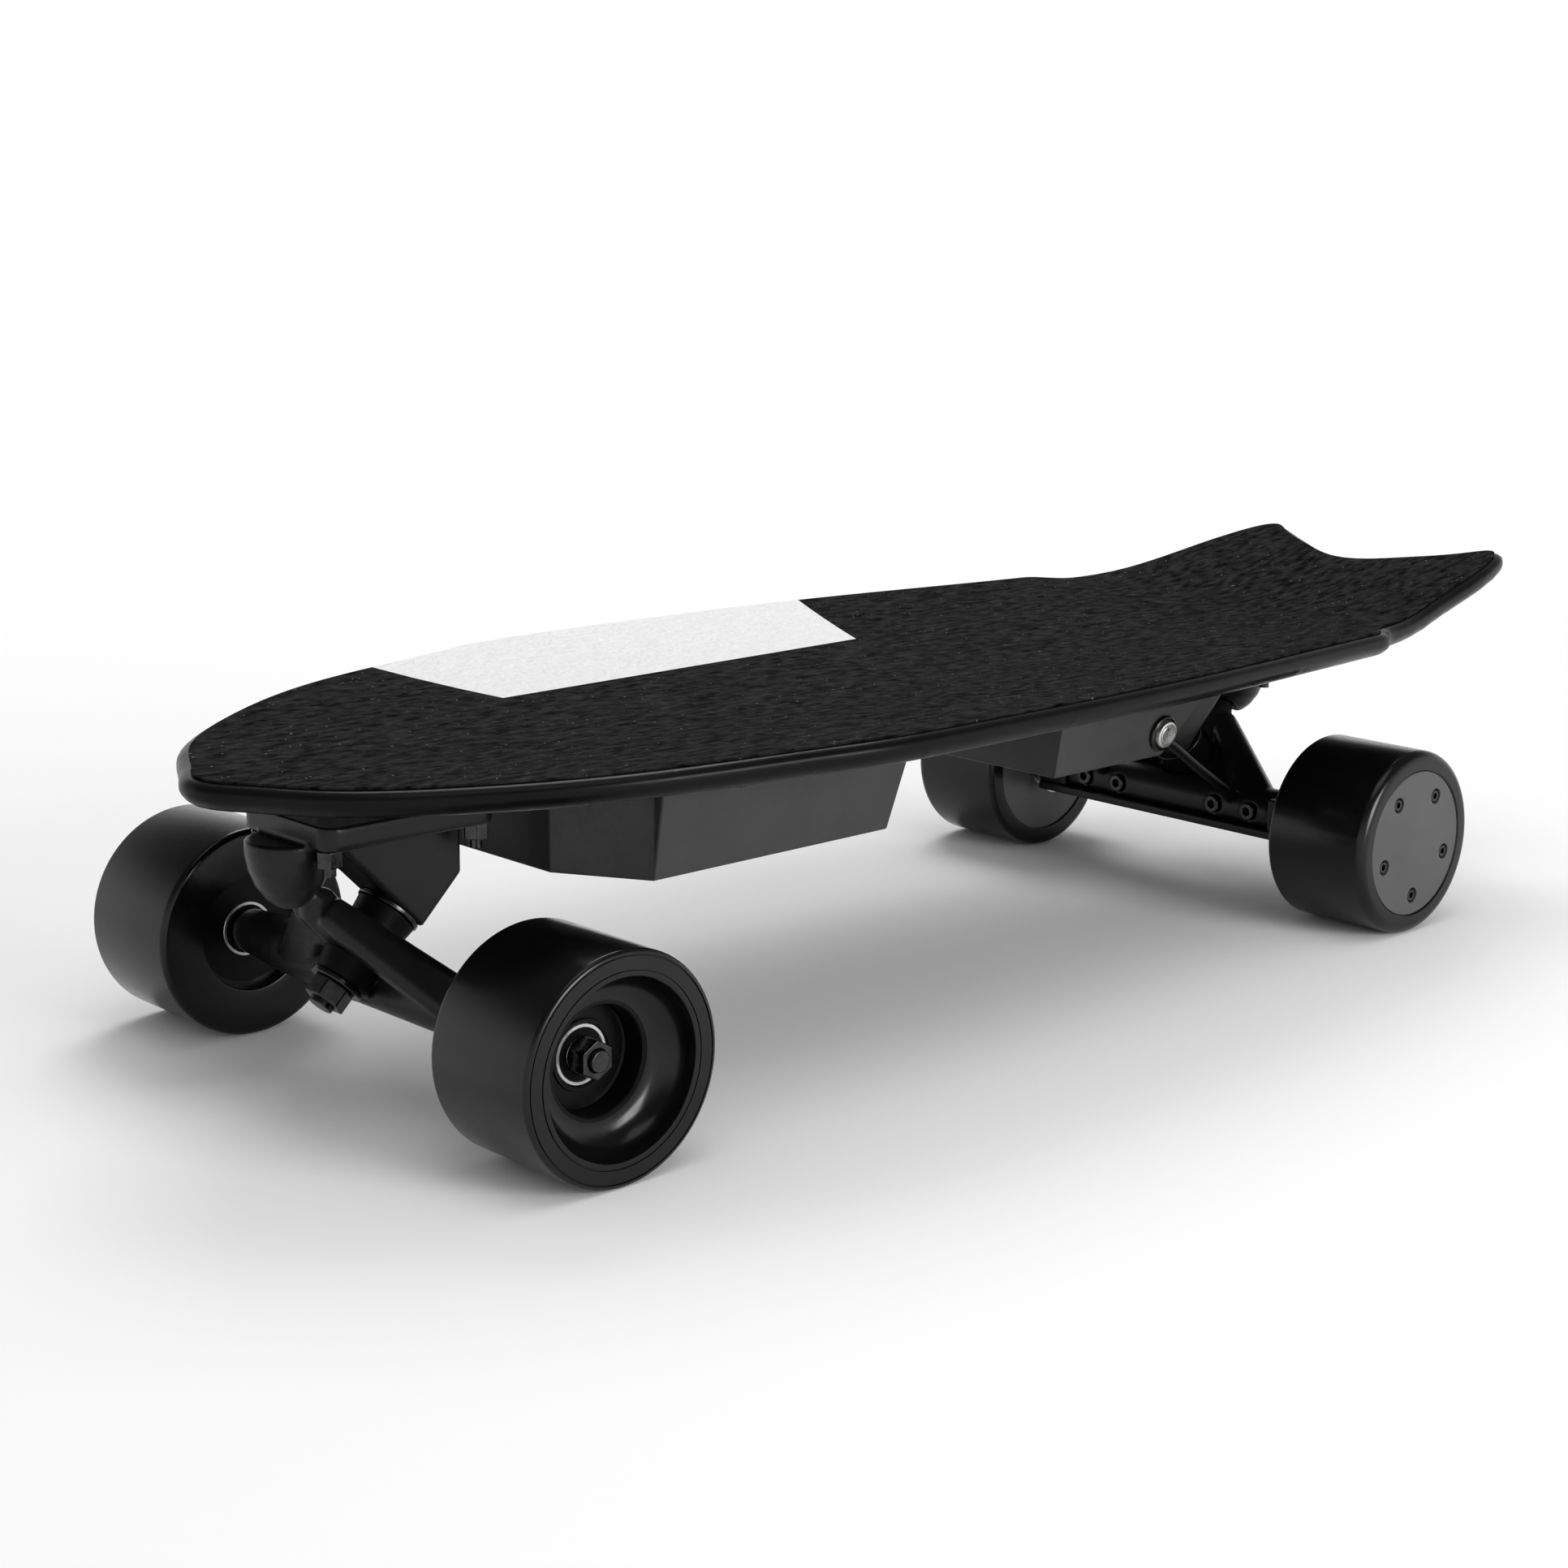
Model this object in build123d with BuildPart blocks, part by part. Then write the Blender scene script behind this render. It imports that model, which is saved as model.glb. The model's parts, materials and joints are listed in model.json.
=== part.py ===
"""Electric skateboard: kick-tail deck on two reverse-kingpin trucks, rear hub motors.

Row frame: +X to the nose, +Y to the rider's left (regular stance), +Z up.
The origin is on the ground, under the middle of the overall box.
"""
import math
import os

from build123d import *

os.makedirs("parts", exist_ok=True)

# ---------------------------------------------------------------- driving sizes, mm
wheel_radius = 41.5          # 83 mm wheels
wheelbase = 462.6
nose_x = 350.0
nose_to_axle = 78.2          # nose tip to the front axle, along the board
front_axle_x = nose_x - nose_to_axle
rear_axle_x = front_axle_x - wheelbase
axle_z = wheel_radius

# deck
deck_thickness = 12.0
deck_half_width = 131.0
deck_tail_x = -350.0
concave_half_width = 126.0
concave_depth = 5.7          # how much higher the rails are than the middle
concave_radius = (concave_half_width**2 + concave_depth**2) / (2 * concave_depth)
rail_bevel = 2.5
kick_start_x = -216.5
kick_bend_radius = 250.0
kick_angle = 11.0
grip_thickness = 0.8
grip_gap = 0.15              # glue under the tape
grip_inset = 4.5             # bare rail left outside the grip tape
panel_corners = ((212, -200), (183, -41.5), (-17, -46.5), (-90, -200))

# trucks, in the frame of one truck: out = away from the board's middle, up = +Z
steer_angle = 49.0           # steering axis above the ground
kingpin_angle = 45.0         # kingpin off the vertical, its nut facing outwards
ring_out = 10.2              # centre of the hanger's ring, from the axle
ring_up = 13.2
ring_radius = 15.0
ring_thickness = 9.0
kingpin_radius = 4.76
kingpin_head_radius = 7.0
kingpin_head_height = 6.0
kingpin_seat_depth = 16.0    # solid wedge between head and upper bushing
bushing_radius = 12.0
upper_bushing_height = 13.0
lower_bushing_height = 9.0
lower_bushing_tip_radius = 9.5
bushing_waist = 0.8          # how far the barrel bushing draws in
lower_washer_radius = 10.6
kingpin_socket_width = 8.0
cup_washer_radius = 12.6
cup_washer_thickness = 2.0
kingpin_nut_width = 14.3
kingpin_nut_height = 7.5
kingpin_end_length = 2.0     # thread past the nut
pivot_length = 44.0          # ring centre to the tip of the pivot
pivot_radius = 4.2
pivot_cup_wall = 1.4
pivot_cup_depth = 9.5
pivot_cup_floor = 1.5
stem_start = 12.8            # pivot stem, from the ring centre
stem_root_radius = 7.5
stem_radius = 5.4
stem_clearance = 1.2
ring_bore_radius = 6.8
bushing_clear_radius = 13.2
running_gap = 0.08           # radial, shafts that turn in their bores
assembly_gap = 0.15          # radial, parts that are only dropped in
fit_gap = 0.05               # radial, parts pressed or screwed together

riser_thickness = 6.0
plate_thickness = 9.0
plate_end_margin = 5.55      # plate past the bolt holes, lengthwise
plate_width = 56.0
plate_corner = 7.0
plate_bevel = 1.2
plate_above_axle = 59.3      # underside of the plate
bolt_centre_out = 4.0        # middle of the bolt pattern from the axle
bolt_spacing_x = 63.5
plate_length = bolt_spacing_x + 2 * plate_end_margin
bolt_spacing_y = 41.3
bolt_radius = 2.4
bolt_hole_radius = 2.7
bolt_head_radius = 4.6
bolt_head_height = 2.8
bolt_socket_width = 3.0
bolt_end_length = 9.5        # bolt left below the plate
bolt_nut_width = 8.7
bolt_nut_height = 6.2
wedge_half_width = 11.0
wedge_back_x = -28.3
wedge_tip_drop = 9.6         # wedge past the kingpin axis
bowl_centre_out = 39.0
bowl_radius = 15.5
bowl_height = 24.0
bowl_rim_height = 4.0

arm_start = 24.0             # top of the arms, from the ring centre
arm_root_offset = 5.0
arm_top_size = 12.6          # square section of an arm at its root
arm_size = 18.0
arm_corner = 4.5
arm_spread = 50.0            # where each arm meets the axle housing
hanger_radius = 11.0
hanger_end_radius = 8.5
hanger_half_length = 90.0
web_thickness = 6.0

# front wheels
axle_radius = 4.0
front_tyre_inner_y = 85.0
front_tyre_width = 52.5
front_outer_edge = 1.8       # rounding of the tyre's outer rim
front_inner_edge = 2.5
tyre_recess_radius = 32.0
tyre_recess_depth = 13.0
inner_recess_radius = 23.0
core_radius = 21.2
core_well_radius = 19.4
bearing_radius = 11.0
bearing_width = 7.0
bearing_spacing = 10.0
speed_washer_thickness = 1.0
speed_washer_radius = 6.2
axle_nut_width = 12.7
axle_nut_height = 8.0
axle_end_length = 1.6

# rear hub motors
rear_tyre_width = 51.0
rear_outer_edge = 7.0
rear_inner_edge = 2.5
motor_radius = 32.75
motor_wall = 3.5
motor_end_plate = 4.0
cover_thickness = 2.6
cover_recess = 0.4
cover_screw_circle = 24.0
cover_screw_count = 5
cover_screw_radius = 3.3
motor_end_gap = 0.8
stator_radius = 26.5
stator_length = 24.0
motor_axle_radius = 5.0
motor_collar_radius = 13.5
bar_half_width = 12.0
bar_lip = 2.0
bar_bottom = -9.6
bar_lip_height = 4.0
bar_top = 9.0
bar_half_length = 77.0
bar_clearance = 6.5          # from the bar's end to the rear tyres
rear_tyre_inner_y = bar_half_length + bar_clearance
bar_block_y = 61.5           # where the bar's end blocks start
bar_screw_radius = 4.0
bar_screw_head = 4.2
bar_screw_seat = 8.0
bar_screw_up = 1.0
bar_screw_places = (-49.5, -29.0, 29.0, 49.5)

# battery and controller cases
case_wall = 2.6
case_draft = 9.0             # side walls lean out towards the deck
case_edge = 1.5
gasket_thickness = 1.4
flange_thickness = 3.0
battery_bottom_z = 78.5
battery_half_width = 65.0
battery_back_x = 75.0
battery_shoulder_x = 196.5
battery_front_x = 217.5
battery_front_half_width = 30.0
battery_flange_front_x = 176.0
controller_bottom_z = 83.5
controller_half_width = 64.0
controller_front_x = -26.0
controller_back_x = -96.0
controller_back_slope = 45.0
flange_width = 12.0
battery_back_lean = 13.0
battery_screw_x = (84.0, 125.0, 165.0)
controller_post_x = (-34.0, -79.0)
controller_post_y = 53.0
post_radius = 4.6
inset_slack = 0.01
case_screw_radius = 1.9
case_screw_head = 3.7
gasket_gap = 0.15
cell_radius = 9.15
cell_length = 65.0
cell_pitch = 18.6
cell_rows = ((78.6, 6), (144.0, 4))
heat_sink_height = 8.0
board_length = 52.0
board_width = 84.0
board_thickness = 1.6
gland_radius = 5.0

# power button, charge port
button_x = -94.0
button_z = 94.3
button_radius = 6.0
button_travel = 1.5
bezel_radius = 8.2
bezel_proud = 2.0
bezel_depth = 10.0
bezel_sleeve_radius = 7.2
port_x = -62.0
port_z = 95.0
port_bore_radius = 5.0
port_bore_depth = 6.0
port_flange_radius = 8.0
port_flange_height = 1.4
port_body_radius = 6.4
port_body_depth = 9.0

# cables
motor_cable_radius = 2.1
link_cable_radius = 3.0
link_cable_y = -40.0
link_cable_z = 103.0
motor_gland_radius = 3.8
cable_gland_start = 3.0
cable_gland_end = 16.0

# ---------------------------------------------------------------- derived places
plate_bottom_z = axle_z + plate_above_axle
plate_top_z = plate_bottom_z + plate_thickness
deck_bottom_z = plate_top_z + riser_thickness
deck_top_z = deck_bottom_z + deck_thickness
grip_bottom_z = deck_top_z + grip_gap
grip_top_z = grip_bottom_z + grip_thickness
concave_centre_z = grip_top_z + concave_radius
kick = math.radians(kick_angle)
draft = math.radians(case_draft)
cable_points = (
    (-92.0, 50.0, 89.0),
    (-112.0, 50.0, 89.0),
    (-160.0, 38.5, 61.5),
    (-184.0, 39.0, 47.0),
)
wedge_face = ring_thickness / 2 + upper_bushing_height + cup_washer_thickness
gasket_bottom_z = deck_bottom_z - gasket_thickness
flange_bottom_z = gasket_bottom_z - flange_thickness


def finish(builder, name):
    """Label a finished piece and write it."""
    builder.part.label = name
    export_step(builder.part, f"parts/{name}.step")


def turn(profile, origin, direction, mode=Mode.ADD):
    """Revolve a closed outline of (radius, along) points about a line."""
    axis_dir = Vector(direction).normalized()
    seed = Vector(1, 0, 0) if abs(axis_dir.Y) > 0.9 else Vector(0, 1, 0)
    radial = (seed - axis_dir * seed.dot(axis_dir)).normalized()
    plane = Plane(origin=origin, x_dir=radial, z_dir=radial.cross(axis_dir))
    with BuildSketch(plane) as half:
        with BuildLine():
            Polyline(*profile, close=True)
        make_face()
    revolve(half.sketch, axis=Axis(origin, axis_dir), mode=mode)


def rod(radius, start, end, origin, direction, mode=Mode.ADD):
    """A plain cylinder between two places along a line."""
    turn([(0, start), (radius, start), (radius, end), (0, end)], origin, direction, mode)


def tube(inner, outer, start, end, origin, direction, mode=Mode.ADD):
    """A plain ring between two places along a line."""
    turn([(inner, start), (outer, start), (outer, end), (inner, end)], origin, direction, mode)


def hex_nut(width, bore, start, end, plane):
    """A hexagon nut across two levels of a plane."""
    with BuildSketch(plane.offset(start)) as hexagon:
        RegularPolygon(width / 2, 6, major_radius=False)
        Circle(bore, mode=Mode.SUBTRACT)
    extrude(hexagon.sketch, amount=end - start)


# ---------------------------------------------------------------- deck
step_x = -205.0              # where the side steps in to the kick
step_half_width = 97.0
tail_tip_half_width = 66.0
fishtail_depth = 30.5


def board_layer(low_z, high_z):
    """The sheet between two levels of the concave board, levels taken on its centre line."""
    reach = 160.0

    def rail_z(level):
        radius = concave_centre_z - level
        return concave_centre_z - math.sqrt(radius**2 - reach**2)

    bend_x = kick_start_x - kick_bend_radius * math.sin(kick)
    bend_z = deck_bottom_z + kick_bend_radius * (1 - math.cos(kick))
    half_x = kick_start_x - kick_bend_radius * math.sin(kick / 2)
    half_z = deck_bottom_z + kick_bend_radius * (1 - math.cos(kick / 2))
    straight_tail = 160.0
    with BuildPart() as layer:
        with BuildLine(Plane.XZ):
            Line((nose_x + 30, deck_bottom_z), (kick_start_x, deck_bottom_z))
            ThreePointArc((kick_start_x, deck_bottom_z), (half_x, half_z), (bend_x, bend_z))
            Line(
                (bend_x, bend_z),
                (bend_x - straight_tail * math.cos(kick), bend_z + straight_tail * math.sin(kick)),
            )
        with BuildSketch(Plane.YZ.offset(nose_x + 30)):
            with BuildLine():
                ThreePointArc((-reach, rail_z(low_z)), (0, low_z), (reach, rail_z(low_z)))
                Line((reach, rail_z(low_z)), (reach, rail_z(high_z)))
                ThreePointArc((reach, rail_z(high_z)), (0, high_z), (-reach, rail_z(high_z)))
                Line((-reach, rail_z(high_z)), (-reach, rail_z(low_z)))
            make_face()
        sweep()
    return layer.part


def inset_spline(points, tangents, inset):
    """A spline through points that are first moved to the left of their path by an inset."""
    moved = []
    for index, (x, y) in enumerate(points):
        if index == 0:
            dx, dy = tangents[0]
        elif index == len(points) - 1:
            dx, dy = tangents[1]
        else:
            dx = points[index + 1][0] - points[index - 1][0]
            dy = points[index + 1][1] - points[index - 1][1]
        length = math.hypot(dx, dy)
        moved.append((x - inset * dy / length, y + inset * dx / length))
    return Spline(*moved, tangents=tangents)


nose_curve = (
    (nose_x, 0),
    (nose_x - 7, 18),
    (nose_x - 20, 41),
    (nose_x - 59, 77.5),
    (nose_x - 120, 107.8),
    (nose_x - 190, 124),
    (95, deck_half_width),
)
side_curve = ((95, deck_half_width), (-52, 126), (-122, 118.5), (step_x + 10, 110))
step_curve = (
    (step_x + 10, 110),
    (step_x, 105),
    (step_x - 7, 99.5),
    (step_x - 17, step_half_width),
)
tail_curve = (
    (step_x - 17, step_half_width),
    (-276, 87.5),
    (deck_tail_x + 25, 80),
    (deck_tail_x, tail_tip_half_width),
    (deck_tail_x + 6, 52),
    (deck_tail_x + 20, 28),
    (deck_tail_x + fishtail_depth, 0),
)


def board_outline(inset):
    """Plan of the deck: pointed nose, full sides, a step in to the kick and a fish tail."""
    with BuildSketch() as plan:
        with BuildLine():
            inset_spline(nose_curve, ((0, 1), (-1, 0)), inset)
            inset_spline(side_curve, ((-1, 0), (-1, -0.1)), inset)
            inset_spline(step_curve, ((-1, -0.1), (-1, -0.12)), inset)
            inset_spline(tail_curve, ((-1, -0.12), (0, -1)), inset)
            mirror(about=Plane.XZ)
        make_face()
    return plan.sketch


def bolt_places(truck, z):
    """The four mounting bolts of one truck, at a height."""
    x_mid = truck.axle_x + truck.out * bolt_centre_out
    return [
        (x_mid + sx * bolt_spacing_x / 2, sy * bolt_spacing_y / 2, z)
        for sx in (-1, 1)
        for sy in (-1, 1)
    ]


class Truck:
    """Places and planes of one truck; out is +1 for the front truck and -1 for the rear."""

    def __init__(self, name, axle_x, out):
        self.name = name
        self.axle_x = axle_x
        self.out = out
        steer = math.radians(steer_angle)
        tilt = math.radians(kingpin_angle)
        self.steer_dir = Vector(out * math.cos(steer), 0, math.sin(steer))
        self.king_dir = Vector(out * math.sin(tilt), 0, -math.cos(tilt))
        self.face_dir = Vector(out * math.cos(tilt), 0, math.sin(tilt))
        self.ring = self.at(ring_out, 0, ring_up)
        self.side = Plane(origin=self.at(0, 0, 0), x_dir=(out, 0, 0), z_dir=(0, -out, 0))
        self.king = Plane(origin=self.ring, x_dir=(0, out, 0), z_dir=self.king_dir)

    def at(self, x, y, z):
        """A point given by its distance out from the axle, its side and its height over it."""
        return Vector(self.axle_x + self.out * x, y, axle_z + z)

    def on_side(self, point):
        """A point of the middle plane in the side plane's own coordinates."""
        return ((point.X - self.axle_x) * self.out, point.Z - axle_z)


front_truck = Truck("front", front_axle_x, 1)
rear_truck = Truck("rear", rear_axle_x, -1)
trucks = (front_truck, rear_truck)



def under_deck(z, y):
    """How high a level of the concave board lies at a distance from its middle."""
    radius = concave_centre_z - z
    return concave_centre_z - math.sqrt(radius**2 - y**2)


screw_y = battery_half_width + 5 + flange_width / 2
flange_screws = [(x, side * screw_y) for side in (-1, 1) for x in battery_screw_x]
post_screws = [(x, side * controller_post_y) for side in (-1, 1) for x in controller_post_x]


def bolt_clearance(radius):
    """The straight holes of all eight mounting bolts, through everything above the plates."""
    with BuildPart() as holes:
        for truck in trucks:
            with Locations(*bolt_places(truck, plate_bottom_z - 1)):
                Cylinder(radius, grip_top_z - plate_bottom_z + 5, align=(Align.CENTER, Align.CENTER, Align.MIN))
    return holes.part


with BuildPart() as deck:
    with BuildSketch():
        add(board_outline(0))
    extrude(amount=deck_top_z + 100)
    add(board_layer(deck_bottom_z, deck_top_z), mode=Mode.INTERSECT)
    rim = deck.faces().filter_by(GeomType.EXTRUSION)[0]
    chamfer(rim.edges().filter_by(Axis.Z, reverse=True), rail_bevel)
    add(bolt_clearance(bolt_hole_radius), mode=Mode.SUBTRACT)
    for truck in trucks:
        with Locations(*bolt_places(truck, deck_top_z - bolt_head_height)):
            Cylinder(
                bolt_head_radius + assembly_gap,
                bolt_head_height + 5,
                align=(Align.CENTER, Align.CENTER, Align.MIN),
                mode=Mode.SUBTRACT,
            )
    for x, y in flange_screws + post_screws:
        rod(case_screw_radius + assembly_gap, 100, under_deck(deck_bottom_z, y) + 8, (x, y, 0), (0, 0, 1), Mode.SUBTRACT)
finish(deck, "deck")

with BuildSketch() as panel_plan:
    with BuildLine():
        Polyline(*panel_corners, close=True)
    make_face()

with BuildPart() as grip_tape:
    with BuildSketch():
        add(board_outline(grip_inset))
    extrude(amount=deck_top_z + 100)
    add(board_layer(grip_bottom_z, grip_top_z), mode=Mode.INTERSECT)
    with BuildSketch():
        add(panel_plan.sketch)
    extrude(amount=deck_top_z + 100, mode=Mode.SUBTRACT)
finish(grip_tape, "grip_tape")

with BuildPart() as grip_panel:
    with BuildSketch():
        add(board_outline(grip_inset))
        add(panel_plan.sketch, mode=Mode.INTERSECT)
    extrude(amount=deck_top_z + 100)
    add(board_layer(grip_bottom_z, grip_top_z), mode=Mode.INTERSECT)
finish(grip_panel, "grip_panel")


# ---------------------------------------------------------------- truck parts on the board
def make_riser(truck):
    """The rubber pad between baseplate and deck."""
    with BuildPart() as riser:
        with BuildSketch(Plane(truck.at(bolt_centre_out, 0, plate_above_axle + plate_thickness))):
            RectangleRounded(plate_length, plate_width, plate_corner)
            with GridLocations(bolt_spacing_x, bolt_spacing_y, 2, 2):
                Circle(bolt_hole_radius, mode=Mode.SUBTRACT)
        extrude(amount=riser_thickness)
    finish(riser, f"{truck.name}_riser")


def make_baseplate(truck):
    """Cast plate with the kingpin wedge and the pivot bowl under it."""
    face = truck.ring - truck.king_dir * wedge_face
    tip = face - truck.face_dir * wedge_tip_drop
    tip_x, tip_z = truck.on_side(tip)
    top_z = plate_above_axle + 1
    tilt = math.radians(kingpin_angle)
    face_top_x = tip_x + (top_z - tip_z) * math.tan(tilt)
    back_z = tip_z + (tip_x - wedge_back_x) / math.tan(tilt)
    with BuildPart() as plate:
        with BuildSketch(Plane(truck.at(bolt_centre_out, 0, plate_above_axle))):
            RectangleRounded(plate_length, plate_width, plate_corner)
        extrude(amount=plate_thickness)
        chamfer(plate.edges().group_by(Axis.Z)[0], plate_bevel)
        with BuildSketch(truck.side):
            with BuildLine():
                Polyline(
                    (tip_x, tip_z),
                    (face_top_x, top_z),
                    (wedge_back_x, top_z),
                    (wedge_back_x, back_z),
                    close=True,
                )
            make_face()
        extrude(amount=wedge_half_width, both=True)
        bowl_axis = truck.at(bowl_centre_out, 0, plate_above_axle)
        bowl = [
            (0, -1),
            (bowl_radius, -1),
            (bowl_radius, bowl_rim_height),
            (bowl_radius * 0.93, bowl_height * 0.42),
            (bowl_radius * 0.78, bowl_height * 0.66),
            (bowl_radius * 0.56, bowl_height * 0.86),
            (bowl_radius * 0.3, bowl_height),
            (0, bowl_height),
        ]
        turn(bowl, bowl_axis, (0, 0, -1))
        with Locations(Plane(truck.at(bolt_centre_out, 0, plate_above_axle + plate_thickness))):
            with GridLocations(bolt_spacing_x, bolt_spacing_y, 2, 2):
                Hole(bolt_hole_radius, depth=plate_thickness)
        seat = -wedge_face - kingpin_seat_depth
        head_pocket = kingpin_head_radius + assembly_gap
        rod(kingpin_radius + assembly_gap, seat - 1, 0, truck.ring, truck.king_dir, Mode.SUBTRACT)
        rod(head_pocket, seat - 40, seat, truck.ring, truck.king_dir, Mode.SUBTRACT)
        cup_outer = pivot_radius + running_gap + pivot_cup_wall + fit_gap
        cup_end = pivot_length + pivot_cup_floor + fit_gap
        rod(
            cup_outer,
            pivot_length - pivot_cup_depth,
            cup_end,
            truck.ring,
            truck.steer_dir,
            Mode.SUBTRACT,
        )
        rod(
            stem_radius + stem_clearance,
            pivot_length - pivot_cup_depth - 12,
            pivot_length - pivot_cup_depth,
            truck.ring,
            truck.steer_dir,
            Mode.SUBTRACT,
        )
    finish(plate, f"{truck.name}_baseplate")


def make_pivot_cup(truck):
    """The urethane thimble in the bowl that the hanger's pivot turns in."""
    inner = pivot_radius + running_gap
    outer = inner + pivot_cup_wall
    mouth = pivot_length - pivot_cup_depth
    profile = [
        (0, pivot_length + running_gap),
        (inner, pivot_length + running_gap),
        (inner, mouth),
        (outer, mouth),
        (outer, pivot_length + pivot_cup_floor),
        (0, pivot_length + pivot_cup_floor),
    ]
    with BuildPart() as cup:
        turn(profile, truck.ring, truck.steer_dir)
    finish(cup, f"{truck.name}_pivot_cup")


def make_kingpin_set(truck):
    """Kingpin, the two bushings on it, their cup washers and the lock nut."""
    upper = -ring_thickness / 2
    lower = ring_thickness / 2
    top_washer = upper - upper_bushing_height
    bottom_washer = lower + lower_bushing_height
    nut = bottom_washer + cup_washer_thickness
    end = nut + kingpin_nut_height + kingpin_end_length
    seat = -wedge_face - kingpin_seat_depth
    bore = kingpin_radius + fit_gap
    with BuildPart() as kingpin:
        rod(kingpin_radius, seat, end, truck.ring, truck.king_dir)
        rod(kingpin_head_radius, seat - kingpin_head_height, seat, truck.ring, truck.king_dir)
        with BuildSketch(truck.king.offset(seat - kingpin_head_height)):
            RegularPolygon(kingpin_socket_width / 2, 6, major_radius=False)
        extrude(amount=kingpin_head_height / 2, mode=Mode.SUBTRACT)
    finish(kingpin, f"{truck.name}_kingpin")

    waist = bushing_radius - bushing_waist
    barrel = [
        (bore, top_washer),
        (bushing_radius, top_washer),
        (waist, top_washer + upper_bushing_height / 2),
        (bushing_radius, upper),
        (bore, upper),
    ]
    with BuildPart() as upper_bushing:
        turn(barrel, truck.ring, truck.king_dir)
    finish(upper_bushing, f"{truck.name}_upper_bushing")

    cone = [
        (bore, lower),
        (bushing_radius, lower),
        (lower_bushing_tip_radius, bottom_washer),
        (bore, bottom_washer),
    ]
    with BuildPart() as lower_bushing:
        turn(cone, truck.ring, truck.king_dir)
    finish(lower_bushing, f"{truck.name}_lower_bushing")

    with BuildPart() as washers:
        tube(bore, cup_washer_radius, top_washer - cup_washer_thickness, top_washer, truck.ring, truck.king_dir)
        tube(bore, lower_washer_radius, bottom_washer, nut, truck.ring, truck.king_dir)
    finish(washers, f"{truck.name}_cup_washers")

    with BuildPart() as lock_nut:
        hex_nut(kingpin_nut_width, bore, nut, nut + kingpin_nut_height, truck.king)
    finish(lock_nut, f"{truck.name}_kingpin_nut")


for truck in trucks:
    make_riser(truck)
    make_baseplate(truck)
    make_pivot_cup(truck)
    make_kingpin_set(truck)

with BuildPart() as mounting_bolts:
    for truck in trucks:
        for x, y, z in bolt_places(truck, plate_bottom_z - bolt_end_length):
            line = (Vector(x, y, z), Vector(0, 0, 1))
            head_top = deck_top_z - z
            rod(bolt_radius, 0, head_top - bolt_head_height, *line)
            rod(bolt_head_radius, head_top - bolt_head_height, head_top, *line)
            with BuildSketch(Plane((x, y, z + head_top))):
                RegularPolygon(bolt_socket_width / 2, 6, major_radius=False)
            extrude(amount=-bolt_head_height / 2, mode=Mode.SUBTRACT)
finish(mounting_bolts, "mounting_bolts")

with BuildPart() as mounting_nuts:
    for truck in trucks:
        for place in bolt_places(truck, plate_bottom_z):
            hex_nut(bolt_nut_width, bolt_radius + fit_gap, -bolt_nut_height, 0, Plane(place))
finish(mounting_nuts, "mounting_nuts")


# ---------------------------------------------------------------- hangers
def add_hanger_frame(truck, seat_z):
    """Ring, pivot stem, two arms and the web that joins them, down to the axle."""
    steer_axis = (truck.ring, truck.steer_dir)
    stem = [
        (0, stem_start),
        (stem_root_radius, stem_start),
        (stem_root_radius, arm_start + 4),
        (pivot_radius, pivot_length - pivot_cup_depth - 1),
        (pivot_radius, pivot_length - 1.5),
        (pivot_radius - 1.5, pivot_length),
        (0, pivot_length),
    ]
    turn(stem, *steer_axis)
    rod(ring_radius, -ring_thickness / 2, ring_thickness / 2, truck.ring, truck.king_dir)
    top = truck.ring + truck.steer_dir * arm_start
    for side in (-1, 1):
        start = top + Vector(0, side * arm_root_offset, 0)
        foot = truck.at(0, side * arm_spread, seat_z)
        along = foot - start
        sideways = along.cross(truck.king_dir)
        with BuildSketch(Plane(origin=start, x_dir=sideways, z_dir=along)) as top_section:
            RectangleRounded(arm_top_size, arm_top_size, arm_corner)
        with BuildSketch(Plane(origin=foot, x_dir=sideways, z_dir=along)) as foot_section:
            RectangleRounded(arm_size, arm_size, arm_corner)
        loft([top_section.sketch, foot_section.sketch])
    axle_on_web = ring_up * math.sin(math.radians(kingpin_angle)) + ring_out * math.cos(
        math.radians(kingpin_angle)
    )
    with BuildSketch(truck.king) as web:
        with BuildLine():
            Polyline(
                (-arm_spread, -axle_on_web),
                (arm_spread, -axle_on_web),
                (arm_root_offset, arm_start),
                (-arm_root_offset, arm_start),
                close=True,
            )
        make_face()
    extrude(web.sketch, amount=web_thickness / 2, both=True)


def cut_kingpin_hole(truck):
    """The loose hole that lets the ring rock on the kingpin."""
    reach = ring_thickness / 2 + 8
    rod(ring_bore_radius, -reach, reach, truck.ring, truck.king_dir, Mode.SUBTRACT)


def clear_bushings(truck):
    """Room for both bushings and their washers beside the ring."""
    near = ring_thickness / 2
    rod(bushing_clear_radius, near, near + 22, truck.ring, truck.king_dir, Mode.SUBTRACT)
    rod(bushing_clear_radius, -near - 16, -near, truck.ring, truck.king_dir, Mode.SUBTRACT)


across = (0, 1, 0)
with BuildPart() as front_hanger:
    housing = [
        (0, -hanger_half_length),
        (hanger_end_radius, -hanger_half_length),
        (hanger_radius, -arm_spread - 8),
        (hanger_radius, arm_spread + 8),
        (hanger_end_radius, hanger_half_length),
        (0, hanger_half_length),
    ]
    turn(housing, front_truck.at(0, 0, 0), across)
    add_hanger_frame(front_truck, 0)
    clear_bushings(front_truck)
    cut_kingpin_hole(front_truck)
    rod(
        axle_radius + fit_gap,
        -hanger_half_length - 1,
        hanger_half_length + 1,
        front_truck.at(0, 0, 0),
        across,
        Mode.SUBTRACT,
    )
finish(front_hanger, "front_hanger")

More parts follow.
